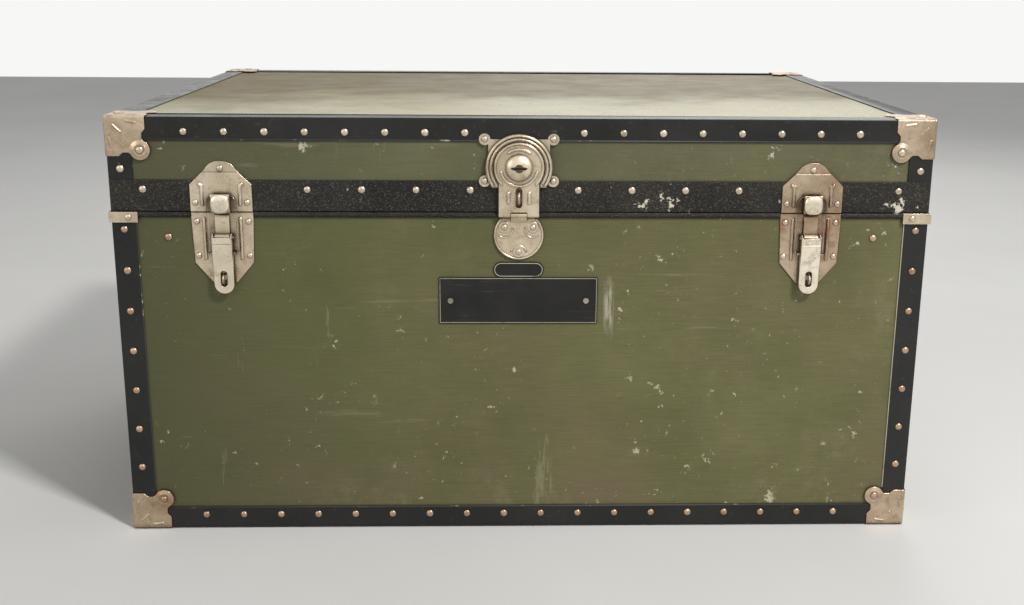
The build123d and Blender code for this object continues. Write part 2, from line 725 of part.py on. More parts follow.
def hasp():
    """The hasp: a round head, a neck with the staple slot, and the two outer hinge knuckles."""
    x = fittings_x
    c = lock_centre
    outline = Pos(x, c) * RegularPolygon(head_radius, round_sides)
    outline += Pos(x, (axis_height + c) / 2) * Rectangle(neck_width, c - axis_height)
    sheet = on_side("front", outline, hasp_out, hasp_sheet)
    front_out = hasp_out + hasp_sheet
    rim = Pos(x, c) * (RegularPolygon(head_radius, round_sides) - RegularPolygon(head_radius - head_rim_width, round_sides))
    rim -= Pos(x, c - head_radius) * Rectangle(neck_width - 8, head_radius)
    sheet += on_side("front", rim, front_out, head_rim_rise)
    for start, size in ((52, 76), (197, 58), (285, 58)):
        sheet += arc_rib(20.5, start, size, 2.6, front_out, 1.3)
    for sign in (-1, 1):
        sheet += raised_rib(x + sign * 11.5, axis_height + 13, axis_height + 27, front_out, 4.0, 1.5)
    sheet += rod("front", x - neck_width / 2, x + neck_width / 2, hasp_axis_out, axis_height,
                 hasp_barrel_radius)
    gap = hasp_middle_knuckle / 2 + knuckle_gap
    sheet -= slab("front", x - gap, x + gap, axis_height - 5, axis_height + hasp_barrel_radius + 0.5,
                  0, front_out + 1)
    sheet -= rod("front", x - neck_width, x + neck_width, hasp_axis_out, axis_height,
                 hasp_pin_radius + plug_play)
    slot_middle = axis_height + (hasp_slot_bottom + hasp_slot_top) / 2
    slot = SlotOverall(hasp_slot_top - hasp_slot_bottom, hasp_slot_width, rotation=90)
    sheet -= on_side("front", Pos(x, slot_middle) * slot, 0, 30)
    sheet -= on_side("front", Pos(x, c) * Circle(plug_radius + plug_play), 0, 30)
    for sign in (-1, 1):
        inner = bolt_width / 2 + 0.3
        rail = sorted((sign * inner, sign * (inner + 1.8)))
        lip = sorted((sign * (inner - 1.2), sign * (inner + 1.8)))
        back = keeper_out + 0.2
        sheet += slab("front", x + rail[0], x + rail[1], c + 9, c + 21, back, hasp_out)
        sheet += slab("front", x + lip[0], x + lip[1], c + 9, c + 21, back, back + 0.4)
    return sheet


def lock():
    """The lock: plate, staple, hasp, dome, plug, bolt, hinge pin and the round body plate."""
    x = fittings_x
    c = lock_centre
    parts["lock_plate"] = lock_plate()
    parts["lock_staple"] = staple(x, axis_height + staple_centre, staple_span + staple_wire, staple_wire,
                                  keeper_out, staple_out)
    parts["hasp"] = hasp()
    front_out = hasp_out + hasp_sheet
    dome = dome_solid(x, c, front_out)
    plug_out = front_out + dome_height - plug_reach
    dome -= on_side("front", Pos(x, c) * Circle(plug_radius + plug_play), front_out - 1, 20)
    keyway = Pos(x, c) * SlotOverall(keyway_length, keyway_width)
    dome -= on_side("front", keyway, front_out + dome_height * 0.35, 20)
    parts["lock_dome"] = dome
    bolt_out = hasp_out - 0.3 - bolt_thickness
    plug_back = hasp_out + 0.1
    plug = on_side("front", Pos(x, c) * Circle(plug_radius), plug_back, plug_out - plug_back)
    plug -= on_side("front", Pos(x, c) * Rectangle(2 * plug_radius + 1, keyway_width * 0.6), plug_out - 4, 5)
    crank = crank_radius * math.sqrt(0.5)
    plug += on_side("front", Pos(x + crank, c - crank) * Circle(crank_pin_radius), bolt_out + 0.2,
                    plug_back - bolt_out)
    parts["key_plug"] = plug
    bolt = slab("front", x - bolt_width / 2, x + bolt_width / 2, c - bolt_tail, c + bolt_tip,
                bolt_out, bolt_out + bolt_thickness)
    play = 0.4
    bolt -= slab("front", x + crank - crank_pin_radius - play, x + crank_radius + crank_pin_radius + play,
                 c - crank - crank_pin_radius - play, c - crank + crank_pin_radius + play,
                 bolt_out - 1, bolt_out + 3)
    parts["lock_bolt"] = bolt
    parts["hasp_pin"] = rod("front", x - neck_width / 2 - 0.4, x + neck_width / 2 + 0.4, hasp_axis_out,
                            axis_height, hasp_pin_radius)
    centre = axis_height - disc_drop + 2.4
    flat = axis_height - disc_top_drop + 2.4
    outline = Pos(x, centre) * RegularPolygon(disc_radius, round_sides)
    outline -= Pos(x, flat + 50) * Rectangle(4 * disc_radius, 100)
    plate = on_side("front", outline, 0, plate_thickness)
    for u, up in disc_fixings():
        boss = Pos(x + u, up) * RegularPolygon(6.6, 12)
        plate += on_side("front", boss & outline, plate_thickness, 0.6)
    half = hasp_middle_knuckle / 2
    points = [(0, flat - 4), (plate_thickness + 0.8, flat - 4), (hasp_axis_out + 1.4, axis_height - 2),
              (hasp_axis_out, axis_height), (hasp_axis_out - 2.2, axis_height)]
    plate += across(profile_up("front", points), x - half, x + half)
    plate += rod("front", x - half, x + half, hasp_axis_out, axis_height, hasp_barrel_radius)
    plate -= rod("front", x - half - 1, x + half + 1, hasp_axis_out, axis_height, hasp_pin_radius)
    parts["hasp_disc_plate"] = plate


def dome_solid(x, c, out):
    """The domed housing of the key plug, in bevelled layers."""
    dome = None
    layers = 3
    for i in range(layers):
        a = math.pi / 2 * i / layers
        b = math.pi / 2 * (i + 0.94) / layers
        low = dome_height * math.sin(a)
        rise = dome_height * math.sin(math.pi / 2 * (i + 1) / layers) - low
        slope = math.degrees(math.atan(dome_radius * (math.cos(a) - math.cos(b)) / rise))
        outline = Pos(x, c) * RegularPolygon(dome_radius * math.cos(a), 2 * small_sides)
        layer = on_side("front", outline, out + low, rise, taper=slope)
        dome = layer if dome is None else dome + layer
    return dome


def disc_fixings():
    """Where the round plate is riveted: two above, one below."""
    high = seam_height - disc_fixing_drop
    return [(-disc_fixing_across, high), (disc_fixing_across, high), (0, seam_height - disc_foot_fixing_drop)]


def plate_rivets():
    """The rivets of the latch and lock plates, on the body and on the lid."""
    body = []
    lid = []
    for sign in (-1, 1):
        centre = fittings_x + sign * latch_offset
        for side in (-1, 1):
            for drop in (11, 50):
                body.append(rivet("front", centre + side * 28.5, seam_height - drop, plate_thickness,
                                  fixing_radius, fixing_height))
            lid.append(rivet("front", centre + side * 28.5, lid_bottom + 10, keeper_out,
                             fixing_radius, fixing_height))
        lid.append(rivet("front", centre, lid_bottom + keeper_height - 8, plate_thickness,
                         fixing_radius, fixing_height))
        for up in (ear_up, -ear_down):
            lid.append(rivet("front", fittings_x + sign * ear_across, lock_centre + up, keeper_out,
                             fixing_radius, fixing_height))
    for u, up in disc_fixings():
        body.append(rivet("front", fittings_x + u, up, plate_thickness + 0.6, fixing_radius, fixing_height))
    parts["body_plate_rivets"] = group(body)
    parts["lid_plate_rivets"] = group(lid)


def plates():
    """The blank name plate with its screws, and the blank badge above it."""
    x = fittings_x
    outline = Pos(x, seam_height - name_plate_drop) * Rectangle(name_plate_width, name_plate_height)
    plate = on_side("front", outline, 0, plate_thickness)
    screws = []
    for sign in (-1, 1):
        spot = Pos(x + sign * name_screw_across, seam_height - name_plate_drop)
        plate -= on_side("front", spot * RegularPolygon(1.6, 6), -1, 5)
        head = on_side("front", spot * RegularPolygon(3.2, small_sides), plate_thickness, 1.2)
        head -= on_side("front", spot * Rot(0, 0, 30) * Rectangle(8, 0.9), plate_thickness + 0.6, 2)
        screws.append(head + on_side("front", spot * RegularPolygon(1.5, 6), 0, plate_thickness))
    parts["name_plate"] = plate
    parts["name_plate_screws"] = group(screws)
    badge = Pos(x, seam_height - badge_drop) * SlotOverall(badge_width, badge_height)
    parts["badge_plate"] = on_side("front", badge, 0, 1.2)


def rear_hinges():
    """Two butt hinges on the back: body leaf, lid leaf and pin."""
    body = []
    lid = []
    pins = []
    pitch = hinge_width / hinge_knuckles
    for place in (-hinge_offset, hinge_offset):
        u0 = place - hinge_width / 2
        top = seam_height - 3.4
        body_leaf = slab("back", u0, u0 + hinge_width, top - hinge_leaf, top, 0, plate_thickness)
        low = lid_bottom + 3.4
        lid_leaf = slab("back", u0, u0 + hinge_width, low, low + hinge_leaf, binding_thickness, keeper_out)
        for k in range(hinge_knuckles):
            a = u0 + k * pitch + (knuckle_gap if k else 0)
            b = u0 + (k + 1) * pitch - (knuckle_gap if k < hinge_knuckles - 1 else 0)
            barrel = rod("back", a, b, hinge_axis_out, hinge_axis_height, hinge_barrel_radius)
            if k % 2 == 0:
                points = [(0, top - 4), (plate_thickness, top - 4),
                          (hinge_axis_out + 2, hinge_axis_height - 2),
                          (hinge_axis_out - 2, hinge_axis_height), (1.6, top)]
                body_leaf += barrel + across(profile_up("back", points), a, b, "back")
            else:
                points = [(binding_thickness, low + 4), (binding_thickness, low),
                          (hinge_axis_out - 2, hinge_axis_height), (hinge_axis_out + 2, hinge_axis_height + 2),
                          (keeper_out, low + 4)]
                lid_leaf += barrel + across(profile_up("back", points), a, b, "back")
        bore = rod("back", u0 - 1, u0 + hinge_width + 1, hinge_axis_out, hinge_axis_height,
                   hinge_pin_radius)
        wide = rod("back", u0 - 1, u0 + hinge_width + 1, hinge_axis_out, hinge_axis_height,
                   hinge_pin_radius + plug_play)
        body.append(body_leaf - bore)
        lid.append(lid_leaf - wide)
        pins.append(rod("back", u0 - 0.6, u0 + hinge_width + 0.6, hinge_axis_out, hinge_axis_height,
                        hinge_pin_radius))
    parts["hinge_leaves_body"] = group(body)
    parts["hinge_leaves_lid"] = group(lid)
    parts["hinge_pins"] = group(pins)


def end_handle(side):
    """A bowed leather handle, its flat ends held under two pressed steel caps."""
    plane = sides[side]
    half = handle_length / 2
    lay = handle_thickness / 2

    def at(u, out):
        return plane.from_local_coords((u, handle_height, out))

    flat = half - handle_end
    turn = 2 * math.atan(handle_bow / flat)
    foot = handle_foot_radius
    crown = flat / math.sin(turn) - foot
    crown_centre = lay + handle_bow - crown

    def on_foot(sign, angle):
        return at(sign * (flat - foot * math.sin(angle)), lay + foot * (1 - math.cos(angle)))

    def on_crown(angle):
        return at(crown * math.sin(angle), crown_centre + crown * math.cos(angle))

    path = Wire([
        Line(at(-half, lay), at(-flat, lay)),
        ThreePointArc(on_foot(-1, 0), on_foot(-1, turn / 2), on_foot(-1, turn)),
        ThreePointArc(on_crown(-turn), on_crown(0), on_crown(turn)),
        ThreePointArc(on_foot(1, turn), on_foot(1, turn / 2), on_foot(1, 0)),
        Line(at(flat, lay), at(half, lay)),
    ])
    section = Plane(origin=at(-half, lay), x_dir=(0, 0, 1), z_dir=plane.x_dir)
    outline = chamfer(Rectangle(handle_width, handle_thickness).vertices(), handle_thickness * 0.25)
    parts["handle_" + side] = sweep(section * outline, path=path)
    caps = []
    wall = handle_cap_thickness
    for sign in (-1, 1):
        middle = sign * (half - handle_cap_length / 2 + 6)
        u0 = middle - handle_cap_length / 2
        u1 = middle + handle_cap_length / 2
        inner = handle_width / 2 + handle_play
        top = handle_thickness + handle_play
        cap = slab(side, u0, u1, handle_height - handle_cap_width / 2, handle_height + handle_cap_width / 2,
                   0, wall)
        cap += slab(side, u0 + 3, u1 - 3, handle_height - inner - wall, handle_height + inner + wall,
                    0, top + wall)
        hollow = (u0 - 1, half + handle_play) if sign > 0 else (-half - handle_play, u1 + 1)
        cap -= slab(side, hollow[0], hollow[1], handle_height - inner, handle_height + inner, -1, top)
        caps.append(cap)
    parts["handle_caps_" + side] = group(caps)


panels()
collar()
bindings()
rim_clips()
corner_caps()
binding_rivets()
latches()
lock()
plate_rivets()
plates()
rear_hinges()
end_handle("left")
end_handle("right")

os.makedirs("parts", exist_ok=True)
for name, shape in parts.items():
    export_step(Pos(0, centre_shift, 0) * shape, f"parts/{name}.step")
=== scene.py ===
import json
import math
import random

import bmesh
import bpy
from mathutils import Matrix, Vector


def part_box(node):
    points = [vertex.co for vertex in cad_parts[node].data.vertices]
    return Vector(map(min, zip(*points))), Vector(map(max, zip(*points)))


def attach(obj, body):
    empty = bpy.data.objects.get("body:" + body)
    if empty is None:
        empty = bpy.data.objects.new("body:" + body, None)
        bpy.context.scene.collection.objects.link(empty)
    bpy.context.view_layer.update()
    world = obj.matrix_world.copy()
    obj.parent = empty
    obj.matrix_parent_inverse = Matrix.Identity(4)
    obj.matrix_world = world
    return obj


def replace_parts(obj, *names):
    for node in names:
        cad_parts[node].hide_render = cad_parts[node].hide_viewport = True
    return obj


# Dressing of the travel trunk. Metres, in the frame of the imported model: front towards -Y, +Z up.
# A CAD node gets a material as it is, or a fuller piece that replaces it. Further pieces ride on its body.

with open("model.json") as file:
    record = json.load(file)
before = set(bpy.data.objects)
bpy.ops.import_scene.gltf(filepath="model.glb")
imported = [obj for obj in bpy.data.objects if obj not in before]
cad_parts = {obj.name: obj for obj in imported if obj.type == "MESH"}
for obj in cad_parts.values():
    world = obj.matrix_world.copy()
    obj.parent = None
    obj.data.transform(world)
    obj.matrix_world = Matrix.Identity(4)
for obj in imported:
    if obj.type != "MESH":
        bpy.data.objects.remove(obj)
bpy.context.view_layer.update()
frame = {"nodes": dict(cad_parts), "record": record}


def box_of(node):
    """The lowest and the highest corner of a node's box."""
    low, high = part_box(node)
    return Vector(low), Vector(high)


def middle_of(node):
    low, high = box_of(node)
    return (low + high) / 2


# Sizes shared by several pieces
body_low = box_of("body_front")[0]
lid_low, lid_high = box_of("lid_top")
box_middle = Vector((0.0, (lid_low.y + lid_high.y) / 2, (body_low.z + lid_high.z) / 2))
front_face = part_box("lid_edge_bindings")[0][1]
binding_width = 0.026
binding_thickness = 0.0015
bead_radius = 0.0011
wire_radius = 0.0014
bail_foot_inset = 0.0055
cap_rib_height = 0.0008
plate_front = 0.0015
weld_distance = 2e-6
outward = Vector((0, -1, 0))
rightward = Vector((1, 0, 0))
rusty_caps = ("base_cap_front_left", "lid_cap_back_right", "base_cap_back_right")

# Camera, solved from the trunk's outline; lengths in the photograph are pixels of a 1024 wide frame
photo_width = 1024
photo_height = 605
focal_pixels = 1216.6
principal_x = 535.3
principal_y = 280.0
camera_down = 14.12
camera_turn = -1.87
camera_roll = 0.5
camera_from_front = Vector((-0.0305, -1.3364, 0.6396))

# Where the paint's marks, its painted shade on the left and its painted reflection on the lid's top lie, in
# metres: a patch of the front is its middle, then its half sizes
front_wall_depth = (-0.3, -0.31)
scrape_patch = (0.097, 0.27, 0.007, 0.04)
band_chip_patches = ((0.15, 0.392, 0.045, 0.016), (0.425, 0.392, 0.03, 0.016))
shaded_left = (-0.08, -0.42)
chipped_right = (-0.05, 0.3)
stained_height = (0.05, 0.42)
lid_top_height = (0.47, 0.48)
browned_depth = (-0.24, 0.0)

# How much the rivets vary, as shares of their own rise and width
rivet_rise_spread = (0.9, 1.0)
rivet_width_spread = (0.96, 1.04)
rng = random.Random(7)


def srgb(r, g, b):
    """A linear colour from display values of 0 to 255."""
    def linear(c):
        c = c / 255
        return c / 12.92 if c <= 0.04045 else ((c + 0.055) / 1.055) ** 2.4
    return (linear(r), linear(g), linear(b), 1.0)


class Nodes:
    """A small helper that builds one procedural material."""

    def __init__(self, name):
        self.material = bpy.data.materials.new(name)
        self.material.use_nodes = True
        self.tree = self.material.node_tree
        self.shader = self.tree.nodes["Principled BSDF"]
        self.place = self.add("ShaderNodeTexCoord").outputs["Object"]

    def add(self, kind, **values):
        node = self.tree.nodes.new(kind)
        for key, value in values.items():
            setattr(node, key, value)
        return node

    def feed(self, socket, value):
        """Link a socket to another one, or set it to a plain value."""
        if isinstance(value, bpy.types.NodeSocket):
            self.tree.links.new(value, socket)
        else:
            socket.default_value = value

    def stretched(self, stretch, shift=(0, 0, 0)):
        """The place on the object, scaled along each axis and shifted."""
        mapping = self.add("ShaderNodeMapping")
        self.feed(mapping.inputs["Vector"], self.place)
        mapping.inputs["Scale"].default_value = stretch
        mapping.inputs["Location"].default_value = shift
        return mapping.outputs["Vector"]

    def noise(self, scale, stretch=(1, 1, 1), detail=4.0, rough=0.55, shift=(0, 0, 0)):
        node = self.add("ShaderNodeTexNoise")
        self.feed(node.inputs["Vector"], self.stretched(stretch, shift))
        node.inputs["Scale"].default_value = scale
        node.inputs["Detail"].default_value = detail
        node.inputs["Roughness"].default_value = rough
        return node.outputs["Fac"]

    def cells(self, scale):
        """The distance to the middle of the nearest cell."""
        node = self.add("ShaderNodeTexVoronoi")
        self.feed(node.inputs["Vector"], self.stretched((1, 1, 1)))
        node.inputs["Scale"].default_value = scale
        return node.outputs["Distance"]

    def ramp(self, value, low, high, start=0.0, end=1.0):
        """A value brought from the span low to high to the span start to end, and held at its ends."""
        node = self.add("ShaderNodeMapRange")
        node.clamp = True
        self.feed(node.inputs["Value"], value)
        for socket, number in zip(("From Min", "From Max", "To Min", "To Max"), (low, high, start, end)):
            node.inputs[socket].default_value = number
        return node.outputs["Result"]

    def math(self, operation, a, b=0.0):
        node = self.add("ShaderNodeMath", operation=operation)
        self.feed(node.inputs[0], a)
        self.feed(node.inputs[1], b)
        return node.outputs[0]

    def mix(self, factor, a, b):
        node = self.add("ShaderNodeMix", data_type="RGBA")
        self.feed(node.inputs["Factor"], factor)
        self.feed(node.inputs["A"], a)
        self.feed(node.inputs["B"], b)
        return node.outputs["Result"]

    def stain(self, colour, mask, strength, tint):
        """A colour with another over it where a mask says, up to a strength."""
        return self.mix(self.math("MULTIPLY", mask, strength), colour, tint)

    def axis(self, letter):
        node = self.add("ShaderNodeSeparateXYZ")
        self.feed(node.inputs[0], self.place)
        return node.outputs[letter]

    def bump(self, height, distance, strength):
        node = self.add("ShaderNodeBump")
        self.feed(node.inputs["Height"], height)
        node.inputs["Distance"].default_value = distance
        node.inputs["Strength"].default_value = strength
        self.feed(self.shader.inputs["Normal"], node.outputs["Normal"])

    def outwards(self):
        """1 on faces that look away from the middle of the trunk, 0 on its inner faces."""
        away = self.add("ShaderNodeVectorMath", operation="SUBTRACT")
        self.feed(away.inputs[0], self.place)
        away.inputs[1].default_value = box_middle
        dot = self.add("ShaderNodeVectorMath", operation="DOT_PRODUCT")
        self.feed(dot.inputs[0], away.outputs[0])
        coordinates = self.add("ShaderNodeTexCoord")
        self.feed(dot.inputs[1], coordinates.outputs["Normal"])
        return self.math("GREATER_THAN", dot.outputs["Value"], 0.0)

    def patch(self, x, z, half_x, half_z):
        """1 in the middle of an upright patch of the front, fading to 0 at its edges."""
        full_share = 0.3
        inside = self.ramp(self.axis("Y"), *front_wall_depth)
        for letter, middle, half in (("X", x, half_x), ("Z", z, half_z)):
            off = self.math("ABSOLUTE", self.math("SUBTRACT", self.axis(letter), middle))
            inside = self.math("MULTIPLY", inside, self.ramp(off, half, half * full_share))
        return inside

    def painted_corner_shade(self, reach):
        """Painted shade and grime: 0 in the open, rising to 1 in corners and under the edges of fittings,
        where ambient occlusion finds them.
        """
        node = self.add("ShaderNodeAmbientOcclusion", samples=8)
        node.inputs["Distance"].default_value = reach
        return self.ramp(node.outputs["AO"], 0.5, 0.95, 1.0, 0.0)

    def finish(self, colour, rough, metallic=0.0, specular=0.5):
        self.feed(self.shader.inputs["Base Color"], colour)
        self.feed(self.shader.inputs["Roughness"], rough)
        self.shader.inputs["Metallic"].default_value = metallic
        self.shader.inputs["Specular IOR Level"].default_value = specular
        return self.material


def stained_paint(n, base, worn, dark, fine):
    """Paint that varies from base to worn, browner low down, darker in patches and in its grain, and darker
    to the left as painted shade.
    """
    colour = n.mix(n.ramp(n.noise(4.2, detail=6.0, rough=0.6), 0.36, 0.66), base, worn)
    brown = n.ramp(n.noise(3.4, detail=9.0, rough=0.72, shift=(3, 1, 2)), 0.42, 0.58)
    brown = n.math("MULTIPLY", brown, n.ramp(n.axis("Z"), *stained_height, 0.95, 0.3))
    colour = n.mix(brown, colour, srgb(112, 101, 72))
    bloom = n.ramp(n.noise(21.0, detail=9.0, rough=0.78, shift=(6, 6, 1)), 0.5, 0.62)
    bloom = n.math("MULTIPLY", bloom, n.ramp(n.noise(4.0, detail=3.0, shift=(2, 9, 4)), 0.45, 0.62))
    colour = n.stain(colour, bloom, 0.5, srgb(134, 124, 94))
    dark_patches = n.ramp(n.noise(2.4, detail=7.0, rough=0.62, shift=(7, 2, 9)), 0.5, 0.72)
    # Painted shade: darker towards the left end, as if less light fell there.
    left = n.ramp(n.axis("X"), *shaded_left, 0.0, 0.75)
    colour = n.mix(n.math("MAXIMUM", n.math("MULTIPLY", dark_patches, 0.55), left), colour, dark)
    return n.stain(colour, n.ramp(fine, 0.42, 0.7), 0.3, dark)


def scuffed_paint(n, colour):
    """Upright streaks, level rubs, pale chips and specks, and the long scrape beside the name plate."""
    streak = n.noise(7.0, stretch=(2.5, 2.5, 0.35), detail=9.0, rough=0.74, shift=(9, 4, 1))
    colour = n.stain(colour, n.ramp(streak, 0.63, 0.665), 0.45, srgb(150, 145, 116))
    rub = n.noise(9.0, stretch=(0.3, 0.3, 5.0), detail=8.0, rough=0.72, shift=(2, 7, 5))
    colour = n.stain(colour, n.ramp(rub, 0.61, 0.66), 0.4, srgb(142, 136, 106))
    right = n.ramp(n.axis("X"), *chipped_right)
    where = n.math("ADD", n.noise(11.0, detail=3.0, shift=(5, 5, 5)), n.math("MULTIPLY", right, 0.08))
    chips = n.ramp(n.noise(42.0, detail=7.0, rough=0.72, shift=(1, 3, 8)), 0.64, 0.655)
    chips = n.math("MULTIPLY", chips, n.ramp(where, 0.49, 0.55))
    specks = n.ramp(n.noise(120.0, detail=5.0, rough=0.75), 0.645, 0.67)
    specks = n.math("MULTIPLY", specks, n.ramp(where, 0.49, 0.58))
    colour = n.mix(n.math("MAXIMUM", chips, specks), colour, srgb(190, 182, 156))
    broken = n.ramp(n.noise(60.0, stretch=(2.0, 1.0, 0.25), detail=8.0, rough=0.7), 0.46, 0.54)
    scrape = n.math("MULTIPLY", n.patch(*scrape_patch), broken)
    return n.stain(colour, scrape, 0.8, srgb(186, 182, 160))


def top_bleach_and_reflection(n, colour):
    """The lid's top, browned behind and paler in front, the pale partly bleach and partly a painted
    reflection. Also gives where it is browned.
    """
    top = n.ramp(n.axis("Z"), *lid_top_height)
    uneven = n.ramp(n.noise(5.0, detail=6.0), 0.3, 0.7, -0.1, 0.1)
    rear = n.ramp(n.math("ADD", n.axis("Y"), uneven), *browned_depth)
    browned = n.math("MULTIPLY", rear, top)
    colour = n.mix(browned, colour, srgb(94, 80, 38))
    # Painted reflection, with some bleach: a pale film over the front of the lid's top.
    bleach_and_reflection = n.math("MULTIPLY", n.math("SUBTRACT", 1.0, rear), top)
    return n.stain(colour, bleach_and_reflection, 0.5, srgb(200, 188, 132)), browned


def lining_paper(n):
    """Buff paper with brown age stains."""
    paper = n.mix(n.ramp(n.noise(38.0, detail=6.0), 0.35, 0.7), srgb(172, 150, 112), srgb(196, 177, 140))
    return n.stain(paper, n.ramp(n.noise(4.0, detail=5.0), 0.52, 0.7), 0.5, srgb(132, 104, 70))


def painted_cloth(name, base, worn, dark, gloss, grain):
    """Olive paint on covering cloth: long grain, brown stains, scuffs, chips, painted shade and grime round
    the fittings, a lid top whose pale front is partly painted reflection, and a papered inner face.
    """
    n = Nodes(name)
    fine = n.noise(60.0, stretch=grain, detail=3.0)
    colour = scuffed_paint(n, stained_paint(n, base, worn, dark, fine))
    # Painted shade and grime: dark olive where corners and fittings shut out light.
    colour = n.stain(colour, n.painted_corner_shade(0.012), 0.55, srgb(40, 37, 26))
    colour, browned = top_bleach_and_reflection(n, colour)
    outside = n.outwards()
    colour = n.mix(outside, lining_paper(n), colour)
    rough = n.ramp(n.noise(22.0, detail=5.0), 0.3, 0.7, gloss, gloss + 0.16)
    rough = n.math("ADD", rough, n.math("MULTIPLY", browned, 0.24))
    rough = n.math("ADD", rough, n.math("MULTIPLY", n.math("SUBTRACT", 1.0, outside), 0.4))
    weave = n.math("MULTIPLY", n.noise(420.0, detail=2.0), 0.5)
    n.bump(n.math("ADD", n.math("MULTIPLY", fine, 0.7), weave), 0.0006, 0.5)
    return n.finish(colour, rough, specular=0.4)


def black_paint(name):
    """Satin black binding, dusted and rubbed, with painted shade and grime in its corners."""
    n = Nodes(name)
    wide = n.noise(6.0, detail=6.0, rough=0.6)
    colour = n.mix(n.ramp(wide, 0.35, 0.7), srgb(20, 20, 19), srgb(38, 37, 34))
    dust = n.ramp(n.noise(150.0, detail=4.0, rough=0.7), 0.6, 0.74)
    colour = n.stain(colour, dust, 0.35, srgb(104, 98, 86))
    scuff = n.noise(16.0, stretch=(1, 1, 3.0), detail=9.0, rough=0.75, shift=(4, 4, 4))
    colour = n.stain(colour, n.ramp(scuff, 0.66, 0.7), 0.55, srgb(152, 143, 124))
    # Painted shade and grime in corners and along the edges of fittings.
    colour = n.stain(colour, n.painted_corner_shade(0.008), 0.6, srgb(18, 17, 15))
    n.bump(n.noise(300.0, detail=4.0), 0.0002, 0.5)
    return n.finish(colour, n.ramp(n.noise(40.0, detail=5.0), 0.3, 0.7, 0.24, 0.42), specular=0.38)


def grained_band(name):
    """Near-black grained fibre with pale dusty specks and a few paint chips."""
    n = Nodes(name)
    wide = n.noise(14.0, detail=5.0)
    colour = n.mix(n.ramp(wide, 0.35, 0.65), srgb(17, 14, 12), srgb(38, 35, 30))
    speck = n.ramp(n.noise(620.0, detail=3.0, rough=0.8), 0.56, 0.66)
    colour = n.stain(colour, speck, 0.55, srgb(132, 124, 108))
    near = n.math("MAXIMUM", *(n.patch(*patch) for patch in band_chip_patches))
    near = n.math("MAXIMUM", near, n.ramp(n.noise(9.0, detail=2.0, shift=(1, 6, 3)), 0.66, 0.8, 0.0, 0.4))
    chip = n.math("ADD", n.noise(90.0, detail=7.0, rough=0.72), n.math("MULTIPLY", near, 0.14))
    colour = n.mix(n.ramp(chip, 0.69, 0.71), colour, srgb(214, 206, 186))
    height = n.math("ADD", n.math("MULTIPLY", n.cells(520.0), 0.9), n.noise(200.0, detail=3.0))
    n.bump(height, 0.0006, 0.7)
    return n.finish(colour, n.ramp(wide, 0.3, 0.7, 0.5, 0.66), specular=0.3)


def aged_nickel(name, rust, tone, light):
    """Nickelled steel gone warm with age, with soft tarnish, pits, pinkish rust, and painted shade and
    grime in its crevices.
    """
    n = Nodes(name)
    wide = n.noise(26.0, detail=6.0, rough=0.6)
    colour = n.mix(n.ramp(wide, 0.32, 0.68), srgb(*tone), srgb(*light))
    tarnish = n.ramp(n.noise(70.0, detail=7.0, rough=0.7, shift=(3, 3, 3)), 0.52, 0.7)
    colour = n.stain(colour, tarnish, 0.6, srgb(122, 100, 76))
    spot = n.ramp(n.noise(34.0, detail=8.0, rough=0.72, shift=(8, 1, 4)), 0.64 - rust, 0.74 - rust)
    colour = n.stain(colour, spot, 0.75, srgb(168, 108, 80))
    # Painted shade and grime: dark brown in crevices and under raised edges.
    colour = n.stain(colour, n.painted_corner_shade(0.008), 0.9, srgb(62, 48, 35))
    pits = n.ramp(n.cells(900.0), 0.1, 0.3)
    rough = n.math("ADD", n.ramp(wide, 0.3, 0.7, 0.2, 0.34), n.math("MULTIPLY", tarnish, 0.2))
    n.bump(n.math("ADD", pits, n.noise(240.0, detail=4.0)), 0.00012, 0.5)
    return n.finish(colour, rough, metallic=0.92)


def plain_steel(name):
    """Grey steel of pins, screws and the bolt."""
    n = Nodes(name)
    wide = n.noise(60.0, detail=6.0)
    colour = n.mix(n.ramp(wide, 0.35, 0.7), srgb(150, 142, 130), srgb(190, 182, 168))
    n.bump(n.noise(500.0, detail=3.0), 0.0001, 0.4)
    return n.finish(colour, n.ramp(wide, 0.3, 0.7, 0.3, 0.5), metallic=0.9)


def saddle_leather(name):
    """Brown leather with fine creases and dark handling marks."""
    n = Nodes(name)
    wide = n.noise(24.0, detail=6.0)
    colour = n.mix(n.ramp(wide, 0.35, 0.68), srgb(70, 42, 26), srgb(104, 66, 40))
    colour = n.stain(colour, n.ramp(n.noise(70.0, detail=7.0), 0.6, 0.75), 0.5, srgb(38, 24, 17))
    n.bump(n.math("ADD", n.cells(420.0), n.noise(90.0, detail=4.0)), 0.0005, 0.6)
    return n.finish(colour, n.ramp(wide, 0.3, 0.7, 0.42, 0.6))


def bare_ply(name):
    """The unpainted wood of the collar, with its grain lying level."""
    n = Nodes(name)
    grain = n.noise(30.0, stretch=(0.6, 0.6, 14.0), detail=6.0)
    colour = n.mix(n.ramp(grain, 0.35, 0.7), srgb(150, 118, 78), srgb(184, 152, 108))
    n.bump(grain, 0.0003, 0.5)
    return n.finish(colour, n.ramp(grain, 0.3, 0.7, 0.55, 0.7))


def enamel(name):
    """Black enamel of the blank plates, dusty and finely scratched."""
    n = Nodes(name)
    wide = n.noise(30.0, detail=6.0)
    colour = n.mix(n.ramp(wide, 0.35, 0.7), srgb(17, 17, 15), srgb(31, 30, 27))
    fine = n.noise(90.0, stretch=(0.2, 1, 6), detail=6.0, rough=0.7)
    colour = n.stain(colour, n.ramp(fine, 0.6, 0.72), 0.3, srgb(120, 116, 104))
    n.bump(fine, 0.0001, 0.4)
    return n.finish(colour, n.ramp(wide, 0.3, 0.7, 0.3, 0.46), specular=0.35)


